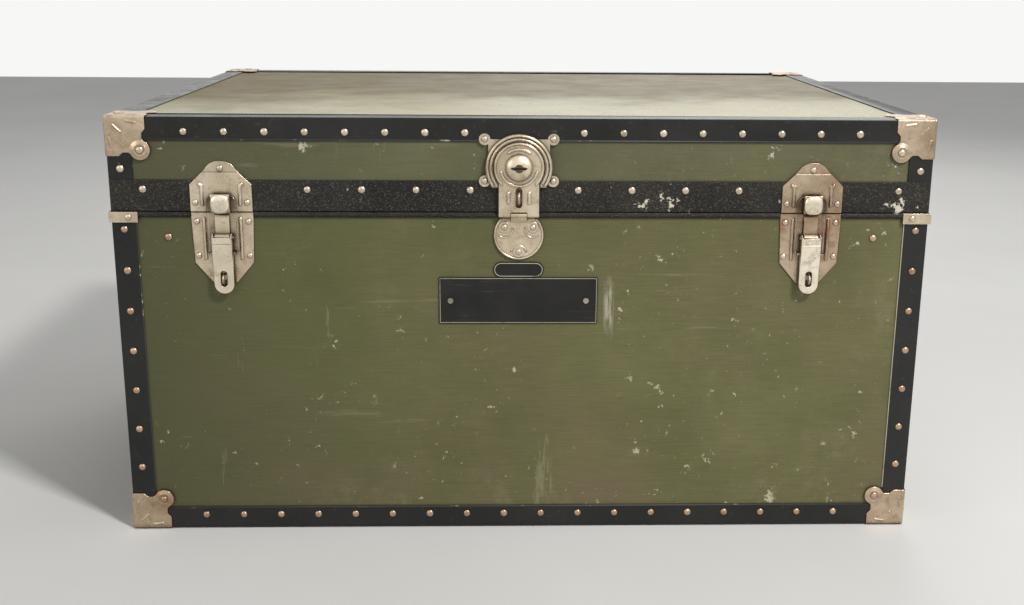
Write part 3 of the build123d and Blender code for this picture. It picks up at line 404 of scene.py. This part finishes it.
def pale_line(name, low, high, dark):
    """The cream line left along the rubbed edges of bindings and plates."""
    n = Nodes(name)
    gap = n.ramp(n.noise(45.0, detail=8.0, rough=0.7), low, high)
    colour = n.mix(gap, dark, srgb(192, 186, 162))
    n.bump(n.noise(300.0), 0.0001, 0.4)
    return n.finish(colour, 0.45)


materials = {
    "body": painted_cloth("body_cloth", srgb(90, 93, 52), srgb(110, 108, 68), srgb(68, 70, 40),
                          0.42, (0.5, 0.5, 16.0)),
    "lid": painted_cloth("lid_cloth", srgb(92, 94, 60), srgb(108, 107, 76), srgb(72, 73, 48),
                         0.22, (0.5, 2.5, 16.0)),
    "black": black_paint("satin_black"),
    "band": grained_band("grained_fibre"),
    "nickel": aged_nickel("aged_nickel", 0.0, (194, 175, 147), (232, 217, 192)),
    # Painted highlight: a lighter copy of the nickel for the levers, hook faces and bail wires, which stand
    # out and catch the light.
    "highlit_nickel": aged_nickel("nickel_painted_highlight", -0.03, (226, 211, 186), (248, 238, 218)),
    "cap": aged_nickel("cap_nickel", 0.03, (170, 146, 120), (218, 198, 172)),
    "copper_rivet": aged_nickel("copper_rivet", 0.08, (170, 136, 112), (208, 178, 152)),
    "plug": aged_nickel("dark_plug", 0.02, (74, 66, 56), (104, 94, 80)),
    "rusty": aged_nickel("rusty_nickel", 0.1, (168, 142, 116), (204, 186, 160)),
    "rivet": aged_nickel("rivet_metal", 0.04, (190, 172, 150), (222, 208, 188)),
    "steel": plain_steel("plain_steel"),
    "leather": saddle_leather("saddle_leather"),
    "ply": bare_ply("bare_ply"),
    "enamel": enamel("black_enamel"),
    "line": pale_line("rubbed_line", 0.3, 0.42, srgb(96, 90, 74)),
    "worn": pale_line("worn_bead", 0.6, 0.68, srgb(52, 51, 48)),
}


def body_of(node):
    """The moving body that a node belongs to."""
    return next(name for name, nodes in frame["record"]["behaviour"]["bodies"].items() if node in nodes)


def dress(obj, material):
    obj.data.materials.clear()
    obj.data.materials.append(materials[material])


def dress_nodes(nodes, material):
    """Give some CAD nodes a material as they are."""
    for node in nodes:
        dress(frame["nodes"][node], material)


def new_piece(name, mesh, material, body):
    obj = bpy.data.objects.new(name, mesh)
    bpy.context.scene.collection.objects.link(obj)
    dress(obj, material)
    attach(obj, body)
    return obj


def welded(node):
    """A copy of a node's mesh whose faces share their corners."""
    bm = bmesh.new()
    bm.from_mesh(frame["nodes"][node].data)
    bmesh.ops.remove_doubles(bm, verts=bm.verts, dist=weld_distance)
    return bm


def finished_mesh(bm, name, smooth=True):
    """The mesh of a finished form, shaded smooth unless it says otherwise."""
    mesh = bpy.data.meshes.new(name)
    bm.to_mesh(mesh)
    bm.free()
    for polygon in mesh.polygons:
        polygon.use_smooth = smooth
    return mesh


def soften(node, material, width, segments=3):
    """A node's own form with its sharp edges rounded over."""
    flat_angle = math.radians(1.0)
    sharp_angle = math.radians(33)
    bm = welded(node)
    bmesh.ops.dissolve_limit(bm, angle_limit=flat_angle, verts=bm.verts, edges=bm.edges)
    name = node + "_dressed"
    obj = new_piece(name, finished_mesh(bm, name), material, body_of(node))
    bevel = obj.modifiers.new("rounding", "BEVEL")
    bevel.width = width
    bevel.segments = segments
    bevel.limit_method = "ANGLE"
    bevel.angle_limit = sharp_angle
    bevel.harden_normals = False
    bevel.use_clamp_overlap = False
    normals = obj.modifiers.new("normals", "WEIGHTED_NORMAL")
    normals.keep_sharp = True
    normals.weight = 80
    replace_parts(obj, node)


def islands(bm):
    """The separate shells of a mesh, as lists of corners, in the order of the mesh's corners."""
    seen = set()
    for first in bm.verts:
        if first in seen:
            continue
        seen.add(first)
        todo = [first]
        shell = []
        while todo:
            vert = todo.pop()
            shell.append(vert)
            for edge in vert.link_edges:
                other = edge.other_vert(vert)
                if other not in seen:
                    seen.add(other)
                    todo.append(other)
        yield shell


def ring(bm, foot, up, side, radius, rise, around):
    """Corners evenly round a circle at a height above its foot."""
    across = up.cross(side)
    corners = []
    for k in range(around):
        angle = 2 * math.pi * k / around
        corners.append(bm.verts.new(foot + up * rise + side * (radius * math.cos(angle))
                                    + across * (radius * math.sin(angle))))
    return corners


def skin(bm, rows):
    """Faces between rings that have the same number of corners."""
    for a, b in zip(rows, rows[1:]):
        for k in range(len(a)):
            j = (k + 1) % len(a)
            bm.faces.new((a[k], a[j], b[j], b[k]))


def crown(bm, row, place):
    """Faces from a ring to one point over it."""
    top = bm.verts.new(place)
    for k in range(len(row)):
        bm.faces.new((row[k], row[(k + 1) % len(row)], top))


def add_dome(bm, foot, up, side, radius, rise):
    """One low dome on its foot."""
    around, rings = 20, 6
    rows = []
    for i in range(rings):
        angle = math.pi / 2 * i / rings
        rows.append(ring(bm, foot, up, side, radius * math.cos(angle), rise * math.sin(angle), around))
    skin(bm, rows)
    crown(bm, rows[-1], foot + up * rise)


def domes(node, material):
    """Smooth rivet domes in the places of a node's bevelled heads."""
    bm = welded(node)
    out = bmesh.new()
    for shell in islands(bm):
        places = [vert.co for vert in shell]
        low = Vector([min(p[i] for p in places) for i in range(3)])
        high = Vector([max(p[i] for p in places) for i in range(3)])
        size = high - low
        middle = (low + high) / 2
        flat = min(range(3), key=lambda i: size[i])
        sign = 1.0 if middle[flat] > box_middle[flat] else -1.0
        foot = middle.copy()
        foot[flat] -= sign * size[flat] / 2
        up = Vector([0, 0, 0])
        up[flat] = sign
        side = Vector((0, 0, 1)) if flat != 2 else rightward
        rise = size[flat] * rng.uniform(*rivet_rise_spread)
        radius = max(size) / 2 * rng.uniform(*rivet_width_spread)
        add_dome(out, foot, up, side, radius, rise)
    bm.free()
    name = node + "_domes"
    obj = new_piece(name, finished_mesh(out, name), material, body_of(node))
    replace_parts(obj, node)


def rounded(path, radius):
    """A path whose wire closes to a half ball at each end, as pairs of place and thickness."""
    def end(first, second):
        ahead = (second - first).normalized()
        return [(first + ahead * (radius * (1 - math.cos(math.radians(a)))), math.sin(math.radians(a)))
                for a in (10, 30, 55, 90)]

    path = [Vector(place) for place in path]
    middle = [(place, 1.0) for place in path[1:-1]]
    return end(path[0], path[1]) + middle + end(path[-1], path[-2])[::-1]


def tube(name, paths, radius, material, body, cyclic=False, balls=False):
    """Round wire or beads of one thickness along some paths."""
    curve = bpy.data.curves.new(name, "CURVE")
    curve.dimensions = "3D"
    curve.bevel_depth = radius
    curve.bevel_resolution = 3
    curve.use_fill_caps = True
    for path in paths:
        places = rounded(path, radius) if balls else [(place, 1.0) for place in path]
        spline = curve.splines.new("POLY")
        spline.points.add(len(places) - 1)
        for point, (place, thickness) in zip(spline.points, places):
            point.co = (*place, 1)
            point.radius = thickness
        spline.use_cyclic_u = cyclic
        spline.use_smooth = True
    obj = bpy.data.objects.new(name, curve)
    bpy.context.scene.collection.objects.link(obj)
    curve.materials.append(materials[material])
    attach(obj, body)
    return obj


def pressed(name, paths, radius, material, body):
    """Pressed ribs or rolled rims of the fittings, closed round at their ends."""
    return tube(name, paths, radius, material, body, balls=True)


def lathe(bm, foot, up, side, profile, around=48):
    """A turned form on a face: rings of the profile's radius and height, closed at its last height."""
    rows = [ring(bm, foot, up, side, radius, rise, around) for radius, rise in profile]
    skin(bm, rows)
    bm.faces.new(rows[-1])
    bm.faces.new(rows[0][::-1])


def turned(name, places, profile, material, body):
    """One piece of several turned forms, each at a place with its outward and sideways directions."""
    bm = bmesh.new()
    for foot, up, side in places:
        lathe(bm, Vector(foot), Vector(up), Vector(side), profile)
    mesh = finished_mesh(bm, name)
    for polygon in mesh.polygons:
        polygon.use_smooth = len(polygon.vertices) == 4
    return new_piece(name, mesh, material, body)


def front(across, up, out):
    """A place in front of the front wall."""
    return Vector((across, front_face + binding_thickness - out, up))


def arc(across, up, radius, start, size, out):
    """Points along an arc on the front, from an angle and over a span in degrees."""
    degrees_per_step = 6
    steps = max(6, int(size / degrees_per_step))
    angles = [math.radians(start + size * k / steps) for k in range(steps + 1)]
    return [front(across + radius * math.cos(a), up + radius * math.sin(a), out) for a in angles]


def panels():
    """The painted panels of body and lid, and the bare collar between them."""
    dress_nodes(["body_" + side for side in ("front", "back", "left", "right", "bottom")], "body")
    dress_nodes(["lid_" + side for side in ("front", "back", "left", "right", "top")], "lid")
    dress_nodes(["collar"], "ply")


def bindings():
    """The black bindings, the grained band with the rim below it, and their beads."""
    for node in ("body_upright_bindings", "lid_upright_bindings", "base_bindings", "lid_edge_bindings"):
        soften(node, "black", 0.0009)
    dress_nodes(["body_rim"], "band")
    soften("lid_band", "band", 0.0008)
    binding_beads()


def binding_beads():
    """The fine rolled bead along the inner edges of the bindings."""
    low, high = box_of("lid_edge_bindings")
    inset = bead_radius * 0.35
    top_edge = high.z - binding_width + bead_radius
    base_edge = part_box("base_bindings")[1][2] - bead_radius
    for name, level, body in (("top", top_edge, "lid"), ("base", base_edge, "trunk")):
        ring_path = [(low.x + inset, low.y + inset, level), (high.x - inset, low.y + inset, level),
                     (high.x - inset, high.y - inset, level), (low.x + inset, high.y - inset, level)]
        tube("bead_" + name, [ring_path], bead_radius, "worn", body, cyclic=True)
    low, high = box_of("body_upright_bindings")
    line_radius, line_out, line_gap = 0.0007, 0.0006, 0.001
    for side, edge, material in (("left", low.x + binding_width + line_gap, "worn"),
                                 ("right", high.x - binding_width - line_gap, "line")):
        run = [front(edge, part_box("base_cap_front_left")[1][2], line_out), front(edge, high.z, line_out)]
        tube("upright_line_" + side, [run], line_radius, material, "trunk")


def fittings():
    """Nickelled plates, levers, caps and clips, with their edges rounded over."""
    for node in frame["nodes"]:
        if "_cap_" in node:
            soften(node, "rusty" if node in rusty_caps else "cap", 0.0006)
    for end, metal in (("left", "nickel"), ("right", "rusty")):
        soften("keeper_" + end, metal, 0.0004, 2)
        soften("latch_base_" + end, metal, 0.0004, 2)
        soften("lever_" + end, "highlit_nickel", 0.0006)
        soften("handle_caps_" + end, "nickel", 0.0005, 2)
        lever_rod(end)
    soften("rim_clips", "nickel", 0.0003, 2)
    dress_nodes(["lock_plate", "hasp_pin"], "nickel")
    soften("hasp", "nickel", 0.0005)
    for node in ("hasp_disc_plate", "hinge_leaves_body", "hinge_leaves_lid"):
        soften(node, "nickel", 0.0004, 2)
    dress_nodes(["hinge_pins", "lock_bolt", "name_plate_screws"], "steel")
    dress_nodes(["key_plug"], "plug")


def lever_rod(end):
    """A smooth round rod in the place of a lever's pin, a little slimmer than its bore."""
    node = "lever_pin_" + end
    low, high = box_of(node)
    middle = middle_of(node)
    ends = [(low.x, middle.y, middle.z), (high.x, middle.y, middle.z)]
    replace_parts(tube(node + "_rod", [ends], 0.0015, "steel", "trunk"), node)


def lock_relief():
    """The rolled rings, pressed ribs, dome and staple of the lock."""
    centre = middle_of("lock_dome")
    x, c = centre.x, centre.z
    pin_radius = 0.0013
    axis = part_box("hasp_pin")[0][2] + pin_radius
    hasp_front = 0.0074

    # Each ring's name, radius, start and span in degrees, how far out it lies, thickness and body
    for name, radius, start, span, out, thickness, body in (
            ("lock_ring", 0.0349, -37, 254, 0.0049, 0.0019, "lid"),
            ("lock_ring_inner", 0.0312, -36, 252, 0.0068, 0.0013, "lid"),
            ("lock_ring_lip", 0.0297, -36, 252, 0.0061, 0.0009, "lid"),
            ("hasp_edge", 0.0276, -52, 284, 0.0066, 0.0009, "hasp"),
            ("hasp_rim", 0.0266, -46, 272, hasp_front + 0.0003, 0.0013, "hasp")):
        pressed(name, [arc(x, c, radius, start, span, out)], thickness, "nickel", body)
    groove_radius = 0.0205
    grooves = [arc(x, c, groove_radius, start, span, hasp_front) for start, span in ((50, 80), (190, 160))]
    pressed("hasp_arcs", grooves, 0.0015, "nickel", "hasp")
    rib_side, rib_foot, rib_top = 0.0115, 0.0125, 0.0275
    ribs = [[front(x + sign * rib_side, axis + rise, hasp_front) for rise in (rib_foot, rib_top)]
            for sign in (-1, 1)]
    pressed("hasp_ribs", ribs, 0.0021, "nickel", "hasp")

    disc_drop, rim_raise, rim_radius = 0.026, 0.0024, 0.0268
    rim = arc(x, axis - disc_drop + rim_raise, rim_radius, 134, 272, plate_front)
    pressed("disc_rim", [rim], 0.0012, "nickel", "trunk")
    crease_radius = 0.0092
    creases = [arc(x + across, axis - drop, crease_radius, start, span, plate_front)
               for across, drop, start, span in ((-0.016, 0.017, 225, 150), (0.016, 0.017, 165, 150),
                                                 (0.0, 0.045, 10, 160))]
    pressed("disc_creases", creases, 0.001, "nickel", "trunk")

    staple_rise = 0.0194
    loop = staple_path(x, axis + staple_rise, 0.0065, 0.003, 0.0066)
    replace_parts(tube("lock_staple_wire", [loop], wire_radius, "rusty", "lid"), "lock_staple")
    dome(x, c, hasp_front)


def staple_path(x, middle, half, foot, straight):
    """The run of a padlock staple: out from its plate, round and back."""
    bend = [front(x, middle + half * math.sin(math.radians(a)), straight + half * math.cos(math.radians(a)))
            for a in range(-90, 91, 15)]
    return [front(x, middle - half, foot)] + bend + [front(x, middle + half, foot)]


def dome(x, c, out):
    """The smooth dome of the lock, pierced by the keyway and the key plug."""
    radius, rise, foot_height, rings = 0.015, 0.0075, 0.0006, 15
    profile = [(radius, 0.0), (radius, foot_height)]
    for k in range(1, rings):
        angle = math.radians(90 * k / rings)
        profile.append((radius * math.cos(angle), foot_height + (rise - foot_height) * math.sin(angle)))
    bm = bmesh.new()
    lathe(bm, front(x, c, out), outward, rightward, profile, 72)
    name = "lock_dome_dressed"
    piece = new_piece(name, finished_mesh(bm, name, smooth=False), "nickel", "hasp")

    plug_radius, cut_height = 0.00475, 0.012
    hole = bmesh.new()
    lathe(hole, front(x, c, out - 0.001), outward, rightward,
          [(plug_radius, 0.0), (plug_radius, cut_height)], 40)

    # The keyway is a lens that is pointed at both sides and flat above and below
    point, shoulder, flat = 0.0098, 0.0075, 0.0045
    shoulder_half, flat_half = 0.0014, 0.0019
    lens = [(-point, 0), (-shoulder, -shoulder_half), (-flat, -flat_half), (flat, -flat_half),
            (shoulder, -shoulder_half), (point, 0), (shoulder, shoulder_half), (flat, flat_half),
            (-flat, flat_half), (-shoulder, shoulder_half)]
    keyway_floor = 0.0026
    keyway = bmesh.new()
    rows = [[keyway.verts.new(front(x + u, c + v, level)) for u, v in lens]
            for level in (out + keyway_floor, out + cut_height)]
    skin(keyway, rows)
    keyway.faces.new(rows[0][::-1])
    keyway.faces.new(rows[1])
    for cut_name, form in (("plug_hole", hole), ("keyway", keyway)):
        pierce(piece, cut_name, form)
    for polygon in piece.data.polygons:
        polygon.use_smooth = True
    piece.data.set_sharp_from_angle(angle=math.radians(40))
    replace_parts(piece, "lock_dome")


def pierce(piece, name, form):
    """Cut a form out of a piece, and leave no cutter behind."""
    bmesh.ops.recalc_face_normals(form, faces=form.faces)
    cutter = bpy.data.objects.new(name, finished_mesh(form, name, smooth=False))
    bpy.context.scene.collection.objects.link(cutter)
    cut = piece.modifiers.new(name, "BOOLEAN")
    cut.operation = "DIFFERENCE"
    cut.solver = "EXACT"
    cut.object = cutter
    bpy.context.view_layer.update()
    result = bpy.data.meshes.new_from_object(piece.evaluated_get(bpy.context.evaluated_depsgraph_get()))
    piece.modifiers.remove(cut)
    piece.data = result
    bpy.data.objects.remove(cutter)


def latch_relief():
    """The pressed ribs, the rounded hook faces and the padlock staples of the latches."""
    rib_radius, keeper_front, hook_margin = 0.002, 0.003, 0.001
    keeper_rib = ((0.021, 0.006), (0.021, 0.028), (0.0245, 0.0325))
    base_rib = ((0.02, -0.054), (0.02, -0.005))
    hook_half_width, hook_out, hook_rise = 0.0104, 0.0112, 0.0031
    loops = []
    for end, metal in (("left", "nickel"), ("right", "rusty")):
        x = middle_of("keeper_" + end).x
        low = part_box("keeper_" + end)[0][2] + 0.002
        ribs = [[front(x + sign * side, low + rise, keeper_front) for side, rise in keeper_rib]
                for sign in (-1, 1)]
        pressed("keeper_ribs_" + end, ribs, rib_radius, metal, "lid")
        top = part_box("latch_base_" + end)[1][2]
        ribs = [[front(x + sign * side, top + rise, plate_front) for side, rise in base_rib]
                for sign in (-1, 1)]
        pressed("latch_base_ribs_" + end, ribs, rib_radius, metal, "trunk")
        hook_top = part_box("bail_" + end)[1][2] + 0.0005
        pillow("hook_face_" + end, x, (low - hook_margin + hook_top) / 2, hook_half_width,
               (hook_top - low + hook_margin) / 2, hook_out, hook_rise, "highlit_nickel", "lid")
        loops.append(staple_path(x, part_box("lever_" + end)[0][2] + 0.017, 0.0043, plate_front, 0.0105))
    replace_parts(tube("latch_staple_wires", loops, 0.0012, "rusty", "trunk"), "latch_staples")


def pillow(name, x, z, half_width, half_height, out, rise, material, body):
    """A rounded raised form on the front, from a soft rectangle that closes in as it rises."""
    around, rings, squareness, fullness = 48, 8, 0.72, 0.6
    bm = bmesh.new()
    rows = []
    for i in range(rings):
        tilt = math.pi / 2 * i / rings
        scale = math.cos(tilt) ** fullness
        row = []
        for k in range(around):
            a = 2 * math.pi * k / around
            u = math.copysign(abs(math.cos(a)) ** squareness, math.cos(a)) * half_width
            v = math.copysign(abs(math.sin(a)) ** squareness, math.sin(a)) * half_height
            row.append(bm.verts.new(front(x + u * scale, z + v * scale, out + rise * math.sin(tilt))))
        rows.append(row)
    skin(bm, rows)
    crown(bm, rows[-1], front(x, z, out + rise))
    bm.faces.new(rows[0][::-1])
    bmesh.ops.recalc_face_normals(bm, faces=bm.faces)
    return new_piece(name, finished_mesh(bm, name), material, body)


def cap_relief():
    """Three pressed ribs on each face of a cap, and its round lobe with a ring round the rivet."""
    rib_middle, rib_half, rib_shift, rib_sink = 0.0282, 0.0065, 0.002, 0.0004
    rib_turns = ((45, 0.62), (10, 1.0), (80, 1.0))
    lobe_reach, lobe_sink = 0.038, 0.0016
    lobe_profile = [(0.0111, 0.0), (0.0111, 0.0014), (0.0107, 0.0017), (0.0073, 0.0017), (0.0068, 0.0023),
                    (0.006, 0.0023), (0.0054, 0.0018)]
    for node in sorted(n for n in frame["nodes"] if "_cap_" in n):
        low, high = box_of(node)
        sx = -1 if "left" in node else 1
        sy = -1 if "front" in node else 1
        sz = -1 if "base" in node else 1
        face = Vector([(low, high)[sign > 0][i] - sign * cap_rib_height
                       for i, sign in enumerate((sx, sy, sz))])
        metal = "rusty" if node in rusty_caps else "cap"
        up = Vector((0, 0, -sz))
        ribs, lobes = [], []
        for normal, along in ((Vector((0, sy, 0)), Vector((-sx, 0, 0))),
                              (Vector((sx, 0, 0)), Vector((0, -sy, 0)))):
            for turn, reach in rib_turns:
                a = math.radians(turn)
                middle = face + along * (rib_middle * reach * math.cos(a) + rib_shift)
                middle += up * (rib_middle * reach * math.sin(a) + rib_shift) - normal * rib_sink
                step = (along * math.cos(a) + up * math.sin(a)) * rib_half
                ribs.append([middle - step, middle + step])
            lobes.append((face + along * lobe_reach + up * lobe_reach - normal * lobe_sink, normal, up))
        pressed(node + "_ribs", ribs, 0.0013, metal, body_of(node))
        turned(node + "_lobes", lobes, lobe_profile, metal, body_of(node))


def clip_rivets():
    """One rivet near each end of the corner clips of the rim."""
    inset, sink, radius, rise = 0.0215, 0.0001, 0.0036, 0.0018
    low, high = box_of("rim_clips")
    z = (low.z + high.z) / 2
    bm = bmesh.new()
    for sx in (-1, 1):
        for sy in (-1, 1):
            x = high.x if sx > 0 else low.x
            y = high.y if sy > 0 else low.y
            for foot, up in (((x - sx * inset, y - sy * sink, z), (0, sy, 0)),
                             ((x - sx * sink, y - sy * inset, z), (sx, 0, 0))):
                add_dome(bm, Vector(foot), Vector(up), Vector((0, 0, 1)), radius, rise)
    new_piece("clip_rivets", finished_mesh(bm, "clip_rivets"), "rivet", "trunk")


def bails():
    """The wire loops of the latches, as round wire with rolled bends and turned-in feet."""
    top_bend, foot_bend, foot_start = 0.0075, 0.0016, 0.0012
    r = wire_radius
    for end in ("left", "right"):
        node = "bail_" + end
        low, high = box_of(node)
        x0, x1 = low.x + r, high.x - r
        foot_z, bar_z = low.z + r, high.z - r
        foot_y, bar_y = low.y + r, high.y - r

        def lean(z):
            return foot_y + (bar_y - foot_y) * (z - foot_z) / (bar_z - foot_z)

        path = [(x0 + bail_foot_inset, foot_y, foot_z), (x0 + foot_start, foot_y, foot_z)]
        path += corner(x0, foot_z, foot_bend, 1, 1, lean)
        path += corner(x0, bar_z, top_bend, 1, -1, lean)
        path += corner(x1, bar_z, top_bend, -1, -1, lean)
        path += corner(x1, foot_z, foot_bend, -1, 1, lean)
        path += [(x1 - foot_start, foot_y, foot_z), (x1 - bail_foot_inset, foot_y, foot_z)]
        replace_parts(tube(node + "_wire", [path], r, "highlit_nickel", node), node)


def corner(x, z, bend, side, up, lean):
    """Points round one bend of a bail, from one run to the next."""
    steps = 6
    centre_x = x + side * bend
    centre_z = z + up * bend
    first = {(1, 1): 270, (1, -1): 180, (-1, -1): 90, (-1, 1): 0}[(side, up)]
    points = []
    for k in range(steps + 1):
        angle = math.radians(first - 90 * k / steps)
        place_z = centre_z + bend * math.sin(angle)
        points.append((centre_x + bend * math.cos(angle), lean(place_z), place_z))
    return points


def rivets():
    """Domes for all rivets that the CAD model has. Those of the body have lost their nickel."""
    for node in ("body_rivets", "lid_rivets", "body_plate_rivets", "lid_plate_rivets"):
        domes(node, "copper_rivet" if node == "body_rivets" else "rivet")


def plates():
    """The blank name plate and badge, each with a pale line along its edge."""
    line_radius, name_inset, badge_inset, steps = 0.0005, 0.0012, 0.0016, 16
    sink = line_radius * 0.6
    soften("name_plate", "enamel", 0.0004, 2)
    soften("badge_plate", "enamel", 0.0003, 2)
    low, high = box_of("name_plate")
    y = low.y + sink
    left, right = low.x + name_inset, high.x - name_inset
    bottom, top = low.z + name_inset, high.z - name_inset
    border = [(left, y, bottom), (right, y, bottom), (right, y, top), (left, y, top)]
    tube("name_plate_line", [border], line_radius, "line", "trunk", cyclic=True)
    low, high = box_of("badge_plate")
    radius = (high.z - low.z) / 2 - badge_inset
    middle_z = (low.z + high.z) / 2
    border = []
    for sign, start in ((1, -90), (-1, 90)):
        centre = (high.x if sign > 0 else low.x) - sign * (high.z - low.z) / 2
        for k in range(steps + 1):
            angle = math.radians(start + 180 * k / steps)
            border.append((centre + radius * math.cos(angle), low.y + sink,
                           middle_z + radius * math.sin(angle)))
    tube("badge_line", [border], line_radius, "line", "trunk", cyclic=True)


def handles():
    """The leather straps at both ends, with well rounded edges."""
    for end in ("left", "right"):
        soften("handle_" + end, "leather", 0.0022, 4)


def studio():
    """A pale floor, soft lamps and a white surround."""
    bpy.ops.mesh.primitive_plane_add(size=12, location=(0, 0, 0))
    floor = bpy.context.object
    floor.name = "floor"
    n = Nodes("pale_floor")
    tone = n.mix(n.ramp(n.noise(2.0, detail=3.0), 0.3, 0.7), srgb(220, 219, 216), srgb(226, 225, 222))
    floor.data.materials.append(n.finish(tone, 0.75))
    surround()
    lamp("key", (1.5, -2.0, 2.7), 0.4, 84)
    lamp("fill", (-2.4, -2.0, 1.3), 1.6, 10)
    lamp("rear", (0.6, 2.4, 2.2), 1.6, 26)


def surround():
    """A dim world that lights the trunk, and a near-white one that the camera and the metal see."""
    world = bpy.data.worlds.new("studio")
    bpy.context.scene.world = world
    world.use_nodes = True
    tree = world.node_tree
    tree.nodes.clear()

    def background(colour, strength):
        node = tree.nodes.new("ShaderNodeBackground")
        node.inputs["Color"].default_value = colour
        node.inputs["Strength"].default_value = strength
        return node.outputs[0]

    def either(a, b):
        node = tree.nodes.new("ShaderNodeMath")
        node.operation = "MAXIMUM"
        tree.links.new(a, node.inputs[0])
        tree.links.new(b, node.inputs[1])
        return node.outputs[0]

    rays = tree.nodes.new("ShaderNodeLightPath").outputs
    seen = either(either(rays["Is Camera Ray"], rays["Is Glossy Ray"]), rays["Is Transmission Ray"])
    mix = tree.nodes.new("ShaderNodeMixShader")
    out = tree.nodes.new("ShaderNodeOutputWorld")
    tree.links.new(seen, mix.inputs["Fac"])
    tree.links.new(background((1.0, 1.0, 1.0, 1), 0.29), mix.inputs[1])
    tree.links.new(background((0.93, 0.93, 0.92, 1), 1.0), mix.inputs[2])
    tree.links.new(mix.outputs[0], out.inputs["Surface"])


def lamp(name, place, size, power):
    """A square lamp that looks at the middle of the trunk."""
    light = bpy.data.lights.new(name, "AREA")
    light.shape = "SQUARE"
    light.size = size
    light.energy = power
    obj = bpy.data.objects.new(name, light)
    bpy.context.scene.collection.objects.link(obj)
    obj.location = place
    aim = Vector((0, 0, 0.25)) - Vector(place)
    obj.rotation_euler = aim.to_track_quat("-Z", "Y").to_euler()


def camera():
    """The camera at the photograph's place, worked out from its named angles."""
    data = bpy.data.cameras.new("camera")
    data.sensor_width = 36.0
    data.lens = focal_pixels / photo_width * data.sensor_width
    data.shift_x = -(principal_x - photo_width / 2) / photo_width
    data.shift_y = (principal_y - photo_height / 2) / photo_width
    data.clip_start = 0.01
    obj = bpy.data.objects.new("camera", data)
    bpy.context.scene.collection.objects.link(obj)
    look = Matrix(((1, 0, 0), (0, 0, -1), (0, 1, 0)))
    lean = Matrix.Rotation(math.radians(camera_roll), 3, "Z")
    lean = lean @ Matrix.Rotation(math.radians(camera_down), 3, "X")
    lean = lean @ Matrix.Rotation(math.radians(camera_turn), 3, "Y")
    flip = Matrix(((1, 0, 0), (0, -1, 0), (0, 0, -1)))
    turn = (flip @ lean @ look).transposed()
    place = camera_from_front + Vector((0, front_face, 0))
    obj.matrix_world = Matrix.Translation(place) @ turn.to_4x4()
    bpy.context.scene.camera = obj


panels()
bindings()
fittings()
lock_relief()
latch_relief()
cap_relief()
clip_rivets()
bails()
rivets()
plates()
handles()
studio()
camera()

bpy.context.scene.view_settings.view_transform = "Standard"
